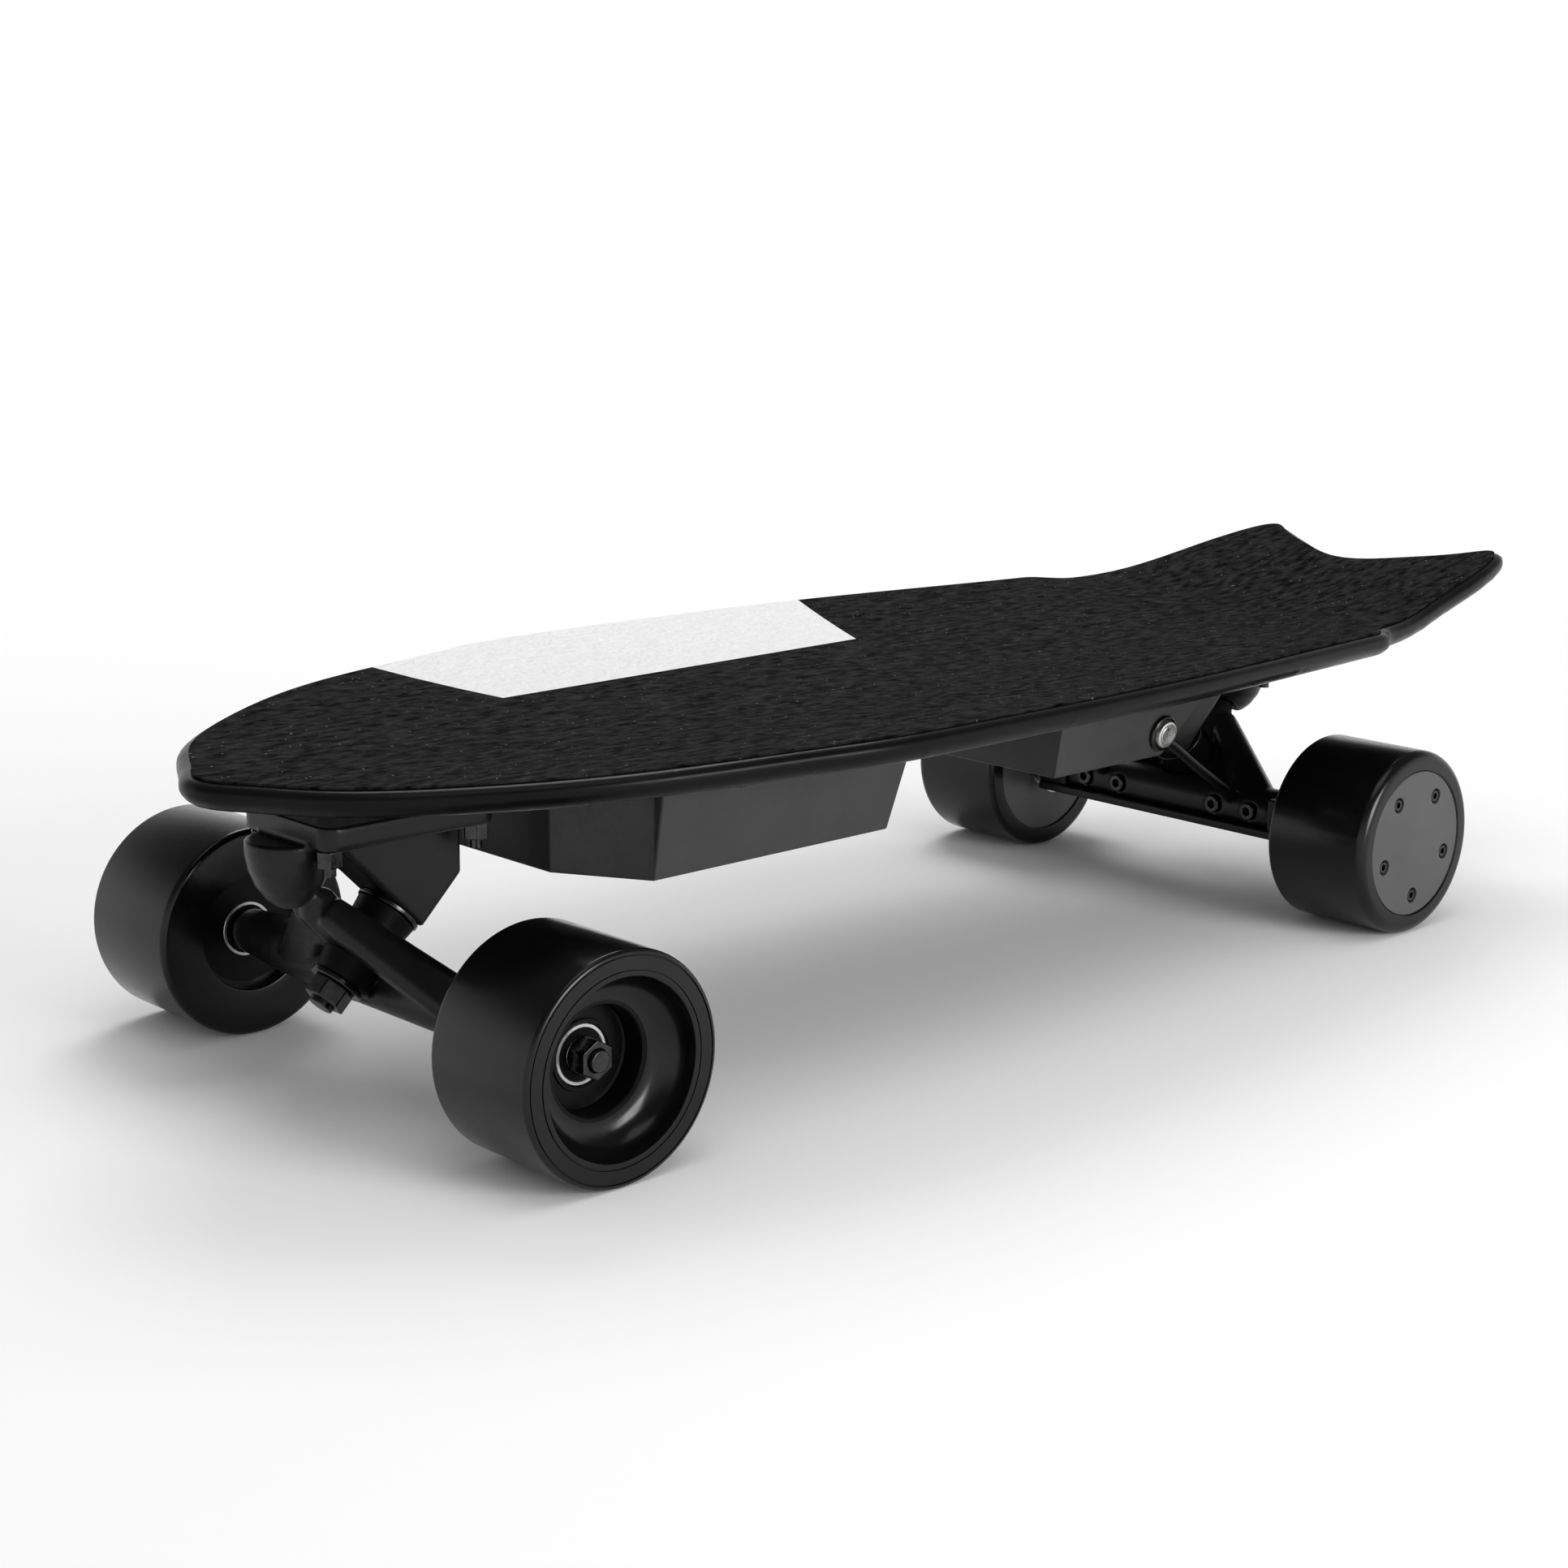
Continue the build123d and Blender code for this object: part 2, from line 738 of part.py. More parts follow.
bearing_inner_y = hanger_half_length + speed_washer_thickness
bearing_outer_y = bearing_inner_y + 2 * bearing_width + bearing_spacing
nut_y = bearing_outer_y + speed_washer_thickness
axle_end_y = nut_y + axle_nut_height + axle_end_length

with BuildPart() as front_axle:
    rod(axle_radius, -axle_end_y, axle_end_y, front_truck.at(0, 0, 0), across)
finish(front_axle, "front_axle")

with BuildPart() as axle_washers:
    for side in (-1, 1):
        line = (front_truck.at(0, 0, 0), (0, side, 0))
        tube(axle_radius + fit_gap, speed_washer_radius, hanger_half_length, bearing_inner_y, *line)
        tube(axle_radius + fit_gap, speed_washer_radius, bearing_outer_y, nut_y, *line)
finish(axle_washers, "front_axle_washers")

with BuildPart() as axle_nuts:
    for side in (-1, 1):
        end = Plane(origin=front_truck.at(0, 0, 0), x_dir=(0, 0, 1), z_dir=(0, side, 0))
        hex_nut(axle_nut_width, axle_radius + fit_gap, nut_y, nut_y + axle_nut_height, end)
finish(axle_nuts, "front_axle_nuts")


# ---------------------------------------------------------------- front wheels
def tyre_rim(side_y, edge, outwards):
    """Quarter round from a tyre's tread to one of its sides, as (radius, along) points."""
    points = []
    for step in range(5):
        turned = math.radians(22.5 * step)
        radius = wheel_radius - edge * (1 - math.cos(turned))
        points.append((radius, side_y - outwards * edge * (1 - math.sin(turned))))
    return points


def make_front_wheel(name, side):
    """Cast urethane tyre on a core that holds two ball bearings."""
    line = (front_truck.at(0, 0, 0), (0, side, 0))
    inner = front_tyre_inner_y
    outer = inner + front_tyre_width
    core_inner = bearing_inner_y
    core_outer = outer - tyre_recess_depth
    seat = core_radius + fit_gap
    tread = [
        (seat, core_inner),
        (inner_recess_radius, core_inner),
        (inner_recess_radius, inner + 0.8),
        (inner_recess_radius + 0.8, inner),
        *reversed(tyre_rim(inner, front_inner_edge, -1)),
        *tyre_rim(outer, front_outer_edge, 1),
        (tyre_recess_radius + 0.6, outer),
        (tyre_recess_radius, outer - 0.6),
        (tyre_recess_radius - 1.4, outer - 0.4 * tyre_recess_depth),
        (tyre_recess_radius - 4, outer - 0.7 * tyre_recess_depth),
        (tyre_recess_radius - 7.2, outer - 0.91 * tyre_recess_depth),
        (seat, core_outer),
    ]
    with BuildPart() as tyre:
        turn(tread, *line)
    finish(tyre, f"front_{name}_tyre")

    bearing_seat = bearing_radius + fit_gap
    shoulder = bearing_radius - 1.5
    hub = [
        (bearing_seat, core_inner),
        (core_radius, core_inner),
        (core_radius, core_outer),
        (core_well_radius, core_outer),
        (core_well_radius, bearing_outer_y),
        (bearing_seat, bearing_outer_y),
        (bearing_seat, bearing_outer_y - bearing_width),
        (shoulder, bearing_outer_y - bearing_width),
        (shoulder, core_inner + bearing_width),
        (bearing_seat, core_inner + bearing_width),
    ]
    with BuildPart() as core:
        turn(hub, *line)
    finish(core, f"front_{name}_core")

    with BuildPart() as bearings:
        for start in (core_inner, bearing_outer_y - bearing_width):
            tube(axle_radius + running_gap, bearing_radius, start, start + bearing_width, *line)
        spacer = (core_inner + bearing_width, bearing_outer_y - bearing_width)
        tube(axle_radius + running_gap, axle_radius + 2, *spacer, *line)
    finish(bearings, f"front_{name}_bearings")


for name, side in (("left", 1), ("right", -1)):
    make_front_wheel(name, side)


# ---------------------------------------------------------------- rear hanger and motors
bar_floor = bar_bottom + bar_lip_height
motor_inner_y = rear_tyre_inner_y + motor_end_gap
motor_outer_y = rear_tyre_inner_y + rear_tyre_width - cover_recess - cover_thickness
outer_bearing_y = motor_outer_y - bearing_width - 1
motor_axle_end_y = motor_outer_y - 0.8


def on_side_of(point, side):
    """The same place on the left (+1) or right (-1) half of the board."""
    x, y, z = point
    return Vector(x, side * y, z)


with BuildPart() as rear_hanger:
    rod(hanger_radius, -bar_block_y, bar_block_y, rear_truck.at(0, 0, 0), across)
    add_hanger_frame(rear_truck, 0)
    clear_bushings(rear_truck)
    cut_kingpin_hole(rear_truck)
    with Locations(rear_truck.at(0, 0, bar_floor)):
        Box(
            60,
            2 * bar_half_length,
            20,
            align=(Align.CENTER, Align.CENTER, Align.MAX),
            mode=Mode.SUBTRACT,
        )
    for side in (-1, 1):
        foot = on_side_of(cable_points[3], side)
        last_run = foot - on_side_of(cable_points[2], side)
        rod(motor_cable_radius + 0.3, -20, 0.3, foot, last_run, Mode.SUBTRACT)
    for y in bar_screw_places:
        place = rear_truck.at(0, y, bar_screw_up)
        inward = (-rear_truck.out, 0, 0)
        rod(bar_screw_radius / 2 + assembly_gap, 0, 20, place, inward, Mode.SUBTRACT)
        rod(bar_screw_radius + assembly_gap, bar_screw_seat, 20, place, inward, Mode.SUBTRACT)
finish(rear_hanger, "rear_hanger")

with BuildPart() as rear_bar_screws:
    for y in bar_screw_places:
        place = rear_truck.at(0, y, bar_screw_up)
        line = (place, (-rear_truck.out, 0, 0))
        rod(bar_screw_radius / 2, 1, bar_screw_seat, *line)
        rod(bar_screw_radius, bar_screw_seat, bar_screw_seat + bar_screw_head, *line)
finish(rear_bar_screws, "rear_bar_screws")

with BuildPart() as rear_motor_bar:
    with Locations(rear_truck.at(0, 0, bar_bottom)):
        Box(
            2 * (bar_half_width + bar_lip),
            2 * bar_half_length,
            bar_lip_height,
            align=(Align.CENTER, Align.CENTER, Align.MIN),
        )
    for side in (-1, 1):
        with Locations(rear_truck.at(0, side * (bar_half_length + bar_block_y) / 2, bar_bottom)):
            Box(
                2 * bar_half_width,
                bar_half_length - bar_block_y,
                bar_top - bar_bottom,
                align=(Align.CENTER, Align.CENTER, Align.MIN),
            )
    clear_bushings(rear_truck)
    bore = motor_axle_radius + fit_gap
    rod(bore, -bar_half_length - 1, bar_half_length + 1, rear_truck.at(0, 0, 0), across, Mode.SUBTRACT)
finish(rear_motor_bar, "rear_motor_bar")

with BuildPart() as motor_axles:
    for side in (-1, 1):
        shaft = [
            (0, bar_block_y + 0.5),
            (motor_axle_radius, bar_block_y + 0.5),
            (motor_axle_radius, bar_half_length),
            (motor_collar_radius, bar_half_length),
            (motor_collar_radius - 4, motor_inner_y - 1),
            (motor_axle_radius + 1.5, motor_inner_y - 1),
            (motor_axle_radius + 1.5, motor_inner_y),
            (motor_axle_radius, motor_inner_y),
            (motor_axle_radius, motor_axle_end_y),
            (0, motor_axle_end_y),
        ]
        turn(shaft, rear_truck.at(0, 0, 0), (0, side, 0))
finish(motor_axles, "motor_axles")

with BuildPart() as motor_stators:
    for side in (-1, 1):
        start = (motor_inner_y + outer_bearing_y - stator_length + bearing_width) / 2
        line = (rear_truck.at(0, 0, 0), (0, side, 0))
        tube(motor_axle_radius + fit_gap, stator_radius, start, start + stator_length, *line)
finish(motor_stators, "motor_stators")


def make_rear_wheel(name, side):
    """Urethane sleeve on an outrunner can, closed by a screwed cover disc."""
    line = (rear_truck.at(0, 0, 0), (0, side, 0))
    inner = rear_tyre_inner_y
    outer = inner + rear_tyre_width
    bore = motor_radius + fit_gap
    sleeve = [
        (bore, inner),
        *reversed(tyre_rim(inner, rear_inner_edge, -1)),
        *tyre_rim(outer, rear_outer_edge, 1),
        (bore, outer),
    ]
    with BuildPart() as tyre:
        turn(sleeve, *line)
    finish(tyre, f"rear_{name}_tyre")

    seat = bearing_radius + fit_gap
    shaft_hole = motor_axle_radius + 2.5
    wall = motor_radius - motor_wall
    shell = [
        (seat, motor_inner_y),
        (motor_radius, motor_inner_y),
        (motor_radius, motor_outer_y),
        (shaft_hole, motor_outer_y),
        (shaft_hole, outer_bearing_y + bearing_width),
        (seat, outer_bearing_y + bearing_width),
        (seat, outer_bearing_y),
        (seat + 3, outer_bearing_y),
        (seat + 3, motor_outer_y - motor_end_plate),
        (wall, motor_outer_y - motor_end_plate),
        (wall, motor_inner_y + motor_end_plate),
        (seat + 3, motor_inner_y + motor_end_plate),
        (seat + 3, motor_inner_y + bearing_width + 1),
        (shaft_hole, motor_inner_y + bearing_width + 1),
        (shaft_hole, motor_inner_y + bearing_width),
        (seat, motor_inner_y + bearing_width),
    ]
    with BuildPart() as can:
        turn(shell, *line)
        for screw in cover_screw_places(side):
            rod(cover_screw_radius / 2 + fit_gap, motor_outer_y - 5, motor_outer_y + 1, screw, line[1], Mode.SUBTRACT)
    finish(can, f"rear_{name}_motor_can")

    with BuildPart() as cover:
        rod(motor_radius - assembly_gap, motor_outer_y, motor_outer_y + cover_thickness, *line)
        for screw in cover_screw_places(side):
            rod(cover_screw_radius + assembly_gap, motor_outer_y - 1, outer, screw, line[1], Mode.SUBTRACT)
    finish(cover, f"rear_{name}_cover")

    with BuildPart() as screws:
        for screw in cover_screw_places(side):
            rod(cover_screw_radius / 2, motor_outer_y - 4, motor_outer_y, screw, line[1])
            rod(cover_screw_radius, motor_outer_y, motor_outer_y + cover_thickness - 0.3, screw, line[1])
    finish(screws, f"rear_{name}_cover_screws")

    with BuildPart() as bearings:
        for start in (motor_inner_y, outer_bearing_y):
            tube(motor_axle_radius + running_gap, bearing_radius, start + 0.05, start + bearing_width, *line)
    finish(bearings, f"rear_{name}_bearings")


def cover_screw_places(side):
    """Where the cover screws' lines cross the middle plane of the board."""
    places = []
    for index in range(cover_screw_count):
        turned = math.radians(-90 + 360 * index / cover_screw_count)
        x = cover_screw_circle * math.cos(turned)
        z = cover_screw_circle * math.sin(turned)
        places.append(rear_truck.at(x, 0, z))
    return places


for name, side in (("left", 1), ("right", -1)):
    make_rear_wheel(name, side)


# ---------------------------------------------------------------- cases under the deck
def draft_half_width(half_width, bottom_z, z):
    """Half width of a drafted case at a height."""
    return half_width + (z - bottom_z) * math.tan(draft)


def case_form(plan, side_view, half_width, bottom_z, inset):
    """A drafted block from three views; its top is left long, to be cut by the deck's layers."""
    top = deck_top_z + 20
    low = bottom_z + inset
    low_width = draft_half_width(half_width, bottom_z, low) - inset / math.cos(draft)
    top_width = draft_half_width(half_width, bottom_z, top) - inset / math.cos(draft)
    with BuildPart() as form:
        with BuildSketch() as plan_view:
            with BuildLine():
                Polyline(*plan, close=True)
            make_face()
            if inset:
                offset(amount=-inset, kind=Kind.INTERSECTION)
        extrude(amount=top)
        with BuildSketch(Plane.YZ) as end_view:
            with BuildLine():
                Polyline((-low_width, low), (low_width, low), (top_width, top), (-top_width, top), close=True)
            make_face()
        extrude(amount=500, both=True, mode=Mode.INTERSECT)
        with BuildSketch(Plane.XZ):
            with BuildLine():
                Polyline(*side_view, close=True)
            make_face()
            if inset:
                offset(amount=-inset, kind=Kind.INTERSECTION)
        extrude(amount=200, both=True, mode=Mode.INTERSECT)
    return form.part


def battery_form(inset):
    """The battery case's block, shrunk by an inset."""
    wide = 100.0
    plan = (
        (0, -wide),
        (battery_shoulder_x + inset_slack, -wide),
        (battery_shoulder_x, -battery_half_width),
        (battery_front_x, -battery_front_half_width),
        (battery_front_x, battery_front_half_width),
        (battery_shoulder_x, battery_half_width),
        (battery_shoulder_x + inset_slack, wide),
        (0, wide),
    )
    top = deck_top_z + 40
    lean = (top - battery_bottom_z) * math.tan(math.radians(battery_back_lean))
    side_view = (
        (battery_back_x, battery_bottom_z),
        (battery_front_x + 20, battery_bottom_z),
        (battery_front_x + 20, top),
        (battery_back_x - lean, top),
    )
    return case_form(plan, side_view, battery_half_width, battery_bottom_z, inset)


def controller_form(inset):
    """The controller case's block, shrunk by an inset."""
    wide = 100.0
    plan = (
        (controller_front_x, -wide),
        (controller_front_x, wide),
        (controller_back_x - 120, wide),
        (controller_back_x - 120, -wide),
    )
    top = deck_top_z + 40
    slope = (top - controller_bottom_z) / math.tan(math.radians(controller_back_slope))
    side_view = (
        (controller_back_x, controller_bottom_z),
        (controller_front_x + 20, controller_bottom_z),
        (controller_front_x + 20, top),
        (controller_back_x - slope, top),
    )
    return case_form(plan, side_view, controller_half_width, controller_bottom_z, inset)


def flange_block(low_z, high_z):
    """The battery case's side flanges between two levels under the deck."""
    reach = battery_half_width + 5 + flange_width
    with BuildPart() as flange:
        with BuildSketch():
            with BuildLine():
                Polyline(
                    (battery_back_x - 1, -reach),
                    (battery_flange_front_x - flange_width, -reach),
                    (battery_flange_front_x, -reach + flange_width),
                    (battery_flange_front_x, reach - flange_width),
                    (battery_flange_front_x - flange_width, reach),
                    (battery_back_x - 1, reach),
                    close=True,
                )
            make_face()
        extrude(amount=deck_top_z + 20)
        add(board_layer(low_z, high_z), mode=Mode.INTERSECT)
    return flange.part


flange_seat_z = under_deck(flange_bottom_z, screw_y) + 0.6
post_seat_z = controller_bottom_z + 2.4

with BuildPart() as battery_case:
    add(battery_form(0))
    add(board_layer(battery_bottom_z - 5, gasket_bottom_z - gasket_gap), mode=Mode.INTERSECT)
    add(flange_block(flange_bottom_z, gasket_bottom_z - gasket_gap))
    add(battery_form(case_wall), mode=Mode.SUBTRACT)
    for x, y in flange_screws:
        rod(case_screw_radius + assembly_gap, 80, 130, (x, y, 0), (0, 0, 1), Mode.SUBTRACT)
        rod(case_screw_head + assembly_gap, 80, flange_seat_z, (x, y, 0), (0, 0, 1), Mode.SUBTRACT)
    link_line = ((0, link_cable_y, link_cable_z), (1, 0, 0))
    rod(gland_radius, battery_back_x - 10, battery_back_x, *link_line)
    rod(link_cable_radius + 0.3, battery_back_x - 20, battery_back_x + 10, *link_line, Mode.SUBTRACT)
finish(battery_case, "battery_case")

with BuildPart() as battery_gasket:
    add(battery_form(0))
    add(flange_block(battery_bottom_z, deck_top_z))
    add(board_layer(gasket_bottom_z, deck_bottom_z - gasket_gap), mode=Mode.INTERSECT)
    add(battery_form(case_wall + 4), mode=Mode.SUBTRACT)
    for x, y in flange_screws:
        rod(case_screw_radius + assembly_gap, 80, 130, (x, y, 0), (0, 0, 1), Mode.SUBTRACT)
finish(battery_gasket, "battery_gasket")

with BuildPart() as battery_cells:
    cell_z = battery_bottom_z + case_wall + 0.4 + cell_radius
    for start, count in cell_rows:
        for index in range(count):
            y = (index - (count - 1) / 2) * cell_pitch
            rod(cell_radius, start, start + cell_length, (0, y, cell_z), (1, 0, 0))
finish(battery_cells, "battery_cells")

button_wall_y = draft_half_width(controller_half_width, controller_bottom_z, button_z)
button_at = (button_x, button_wall_y, button_z)
button_dir = (0, math.cos(draft), -math.sin(draft))
port_wall_y = draft_half_width(controller_half_width, controller_bottom_z, port_z)
port_at = (port_x, -port_wall_y, port_z)
port_dir = (0, -math.cos(draft), -math.sin(draft))

with BuildPart() as controller_case:
    add(controller_form(0))
    add(controller_form(case_wall), mode=Mode.SUBTRACT)
    for x, y in post_screws:
        rod(post_radius, controller_bottom_z + 1, deck_top_z, (x, y, 0), (0, 0, 1))
    add(board_layer(controller_bottom_z - 5, gasket_bottom_z - gasket_gap), mode=Mode.INTERSECT)
    for x, y in post_screws:
        rod(case_screw_radius + assembly_gap, 80, 130, (x, y, 0), (0, 0, 1), Mode.SUBTRACT)
        rod(case_screw_head + assembly_gap, 80, post_seat_z, (x, y, 0), (0, 0, 1), Mode.SUBTRACT)
    rod(gland_radius, controller_front_x - 1, controller_front_x + 5, *link_line)
    rod(link_cable_radius + 0.3, controller_front_x - 10, controller_front_x + 10, *link_line, Mode.SUBTRACT)
    for side in (-1, 1):
        start = on_side_of(cable_points[0], side)
        rod(motor_gland_radius, cable_gland_start, cable_gland_end, start, (-1, 0, 0))
        rod(motor_cable_radius + 0.3, -5, 20, start, (-1, 0, 0), Mode.SUBTRACT)
    rod(bezel_sleeve_radius + assembly_gap, -6, 6, button_at, button_dir, Mode.SUBTRACT)
    rod(port_body_radius + assembly_gap, -6, 6, port_at, port_dir, Mode.SUBTRACT)
finish(controller_case, "controller_case")

with BuildPart() as controller_gasket:
    add(controller_form(0))
    add(board_layer(gasket_bottom_z, deck_bottom_z - gasket_gap), mode=Mode.INTERSECT)
    add(controller_form(case_wall + 8), mode=Mode.SUBTRACT)
    for x, y in post_screws:
        rod(case_screw_radius + assembly_gap, 80, 130, (x, y, 0), (0, 0, 1), Mode.SUBTRACT)
finish(controller_gasket, "controller_gasket")

with BuildPart() as controller_board:
    board_mid_x = (controller_front_x + controller_back_x) / 2
    floor_z = controller_bottom_z + case_wall
    with Locations((board_mid_x, 0, floor_z + 0.1)):
        Box(40, 50, heat_sink_height, align=(Align.CENTER, Align.CENTER, Align.MIN))
    with Locations((board_mid_x, 0, floor_z + 0.1 + heat_sink_height)):
        Box(board_length, board_width, board_thickness, align=(Align.CENTER, Align.CENTER, Align.MIN))
    for y in (-24, 0, 24):
        line = ((board_mid_x - 15, y, floor_z + heat_sink_height + board_thickness + 6), (1, 0, 0))
        rod(6.2, 0, 30, *line)
finish(controller_board, "controller_board")

with BuildPart() as case_screws:
    for x, y in flange_screws:
        rod(case_screw_radius, flange_seat_z, under_deck(deck_bottom_z, y) + 7, (x, y, 0), (0, 0, 1))
        rod(case_screw_head, flange_seat_z - 2.2, flange_seat_z, (x, y, 0), (0, 0, 1))
    for x, y in post_screws:
        rod(case_screw_radius, post_seat_z, under_deck(deck_bottom_z, y) + 7, (x, y, 0), (0, 0, 1))
        rod(case_screw_head, post_seat_z - 2.2, post_seat_z, (x, y, 0), (0, 0, 1))
finish(case_screws, "case_screws")

with BuildPart() as button_bezel:
    bore = button_radius + running_gap
    ring = [
        (bore, bezel_proud),
        (bezel_radius - 0.7, bezel_proud),
        (bezel_radius, bezel_proud - 0.7),
        (bezel_radius, 0.05),
        (bezel_sleeve_radius, 0.05),
        (bezel_sleeve_radius, -bezel_depth),
        (0, -bezel_depth),
        (0, -bezel_depth + 1.2),
        (bore, -bezel_depth + 1.2),
    ]
    turn(ring, button_at, button_dir)
finish(button_bezel, "button_bezel")

with BuildPart() as power_button:
    back = -bezel_depth + 1.2 + button_travel + 0.3
    rod(button_radius, back, bezel_proud + button_travel + 0.1, button_at, button_dir)
finish(power_button, "power_button")

with BuildPart() as charge_port:
    socket = [
        (port_bore_radius, port_flange_height),
        (port_flange_radius, port_flange_height),
        (port_flange_radius, 0.05),
        (port_body_radius, 0.05),
        (port_body_radius, -port_body_depth),
        (0, -port_body_depth),
        (0, port_flange_height - port_bore_depth),
        (port_bore_radius, port_flange_height - port_bore_depth),
    ]
    turn(socket, port_at, port_dir)
finish(charge_port, "charge_port")


# ---------------------------------------------------------------- cables
def bend_radii(points):
    """Radius for each inner corner: its arc takes 45 % of the shorter of its two runs."""
    radii = []
    for before, corner, after in zip(points, points[1:], points[2:]):
        run_in = Vector(corner) - Vector(before)
        run_out = Vector(after) - Vector(corner)
        half_turn = math.radians(run_in.get_angle(run_out)) / 2
        radii.append(0.45 * min(run_in.length, run_out.length) / math.tan(half_turn))
    return radii


def make_motor_cable(name, side):
    """One motor cable, from inside the controller case to its hole in the rear hanger."""
    points = [on_side_of(point, side) for point in cable_points]
    radii = bend_radii(points)
    print(name, "motor cable bend radii", [round(radius, 1) for radius in radii])
    with BuildPart() as cable:
        with BuildLine():
            FilletPolyline(*points, radius=radii)
        with BuildSketch(Plane(origin=points[0], z_dir=points[1] - points[0])):
            Circle(motor_cable_radius)
        sweep()
    print(name, "motor cable length", round(cable.part.volume / math.pi / motor_cable_radius**2, 1))
    finish(cable, f"{name}_motor_cable")


for name, side in (("left", 1), ("right", -1)):
    make_motor_cable(name, side)

with BuildPart() as link_cable:
    rod(link_cable_radius, controller_front_x - 6, battery_back_x + 2, *link_line)
finish(link_cable, "link_cable")
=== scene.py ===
"""Looks, light and camera for the electric skateboard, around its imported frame."""

import json
import math

import bpy
from mathutils import Matrix, Vector, kdtree

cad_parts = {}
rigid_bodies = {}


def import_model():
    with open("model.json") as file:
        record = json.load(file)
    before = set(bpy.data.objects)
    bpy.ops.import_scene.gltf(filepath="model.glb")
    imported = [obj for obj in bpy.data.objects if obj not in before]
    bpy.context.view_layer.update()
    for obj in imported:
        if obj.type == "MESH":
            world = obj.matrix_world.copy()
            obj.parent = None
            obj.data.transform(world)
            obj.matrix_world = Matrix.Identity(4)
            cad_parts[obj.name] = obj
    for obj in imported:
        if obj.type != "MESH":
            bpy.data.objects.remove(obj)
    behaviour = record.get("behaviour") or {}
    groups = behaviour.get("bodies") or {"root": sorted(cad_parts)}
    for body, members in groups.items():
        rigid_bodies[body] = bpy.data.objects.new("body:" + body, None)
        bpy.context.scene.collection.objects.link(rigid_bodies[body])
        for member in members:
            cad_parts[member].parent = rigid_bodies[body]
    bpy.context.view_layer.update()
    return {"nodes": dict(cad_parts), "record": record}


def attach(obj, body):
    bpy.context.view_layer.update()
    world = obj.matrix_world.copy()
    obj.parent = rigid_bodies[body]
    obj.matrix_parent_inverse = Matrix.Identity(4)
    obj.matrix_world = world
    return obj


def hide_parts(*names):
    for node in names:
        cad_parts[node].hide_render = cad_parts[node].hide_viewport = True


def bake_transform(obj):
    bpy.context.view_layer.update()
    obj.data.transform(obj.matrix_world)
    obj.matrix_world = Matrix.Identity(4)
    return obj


MM = 0.001

# wheels, mm; places along the axle are distances from the board's middle plane
wheel_radius = 41.5
front_axle_x = 271.8
rear_axle_x = -190.8
front_inner_y = 85.0
front_outer_y = 137.5
front_outer_edge = 1.8       # rounding of the front tyres' outer rim
inner_edge = 2.5             # rounding of every tyre's inner rim
groove_radii = (39.4, 34.3)  # the two grooves in a front tyre's outer face
groove_half_width = 0.25
groove_floor_half_width = 0.12
groove_lip = 0.1
groove_depth = 0.6
tyre_recess_radius = 32.0
tyre_recess_depth = 13.0
recess_lip = 0.7             # straight wall between the outer face and the recess
inner_recess_radius = 23.0
core_radius = 21.2
core_well_radius = 19.4
bearing_radius = 11.0
bearing_width = 7.0
front_bearing_y = (91.0, 108.0)
inner_race = (4.1, 6.1)      # bore and outside of a bearing's inner race
outer_race_bore = 9.3
race_ease = 0.35
rear_inner_y = 83.5
rear_outer_y = 134.5
rear_shoulder = 4.5
motor_radius = 32.75
fit_gap = 0.05
cover_face_y = 134.1
cover_screw_circle = 24.0
cover_screw_count = 5
cover_screw_sink = 0.5       # tops of the screw heads below the cover's face

# cap screws, mm: radius and height of the head, width of the socket
cover_screw = (2.8, 1.9, 2.6)
bar_screw = (4.0, 4.2, 4.0)
case_screw = (3.7, 2.2, 2.5)
bar_screw_places = (-49.5, -29.0, 29.0, 49.5)
bar_screw_reach = 12.2       # tops of the heads ahead of the rear axle
bar_screw_up = 1.0
flange_screw_places = [(x, side * 76.0) for side in (-1, 1) for x in (84.0, 125.0, 165.0)]
post_screw_places = [(x, side * 53.0) for side in (-1, 1) for x in (-34.0, -79.0)]
mounting_bolt_xs = (307.55, 244.05, -163.05, -226.55)
mounting_bolt_y = 20.65
hole_reach = 8.0             # an outline point nearer than this belongs to a hole

# cables, mm
cable_route = (
    (-92.0, 50.0, 89.0),
    (-104.0, 50.0, 89.0),
    (-112.0, 50.0, 89.0),
    (-160.0, 38.5, 61.5),
    (-184.0, 39.0, 47.0),
)
motor_cable_radius = 2.1
motor_relief_x = -107.5
link_route = ((-32.0, -40.0, 103.0), (0.0, -40.0, 103.0), (45.0, -40.0, 103.0), (77.0, -40.0, 103.0))
link_cable_radius = 3.0
front_link_relief_x = 65.0
back_link_relief_x = -21.0

# deck, mm
deck_bottom_z = 115.8
deck_thickness = 12.0
concave_centre_z = 1524.23
kick_start_x = -216.5
kick_bend_radius = 250.0
kick_angle = math.radians(11)
outline_spacing = 4.0
wall_slope = 0.02            # a face of the deck's wall is steeper than this
rail_rounding = 5.0
rail_lift = 4.0              # how far the rail's underside is drawn up at the edge
rail_lift_reach = 20.0

# controller case and power button, mm
case_draft = math.radians(9)
controller_bottom_z = 83.5
controller_half_width = 64.0
button_x = -94.0
button_z = 94.3
button_radius = 6.0
button_face = 3.6            # front of the button, out from the case's wall
button_back = -7.0

# mesh work: distances in metres
cad_weld = 0.00001
fine_weld = 0.000004
crease_angle = math.radians(28)
long_curve_crease_angle = math.radians(40)

for leftover in list(bpy.data.objects):
    bpy.data.objects.remove(leftover)

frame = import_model()


# ---------------------------------------------------------------- working helpers
def clear_selection():
    """Leaves nothing selected or active, in object mode."""
    if bpy.context.object and bpy.context.object.mode != "OBJECT":
        bpy.ops.object.mode_set(mode="OBJECT")
    bpy.ops.object.select_all(action="DESELECT")


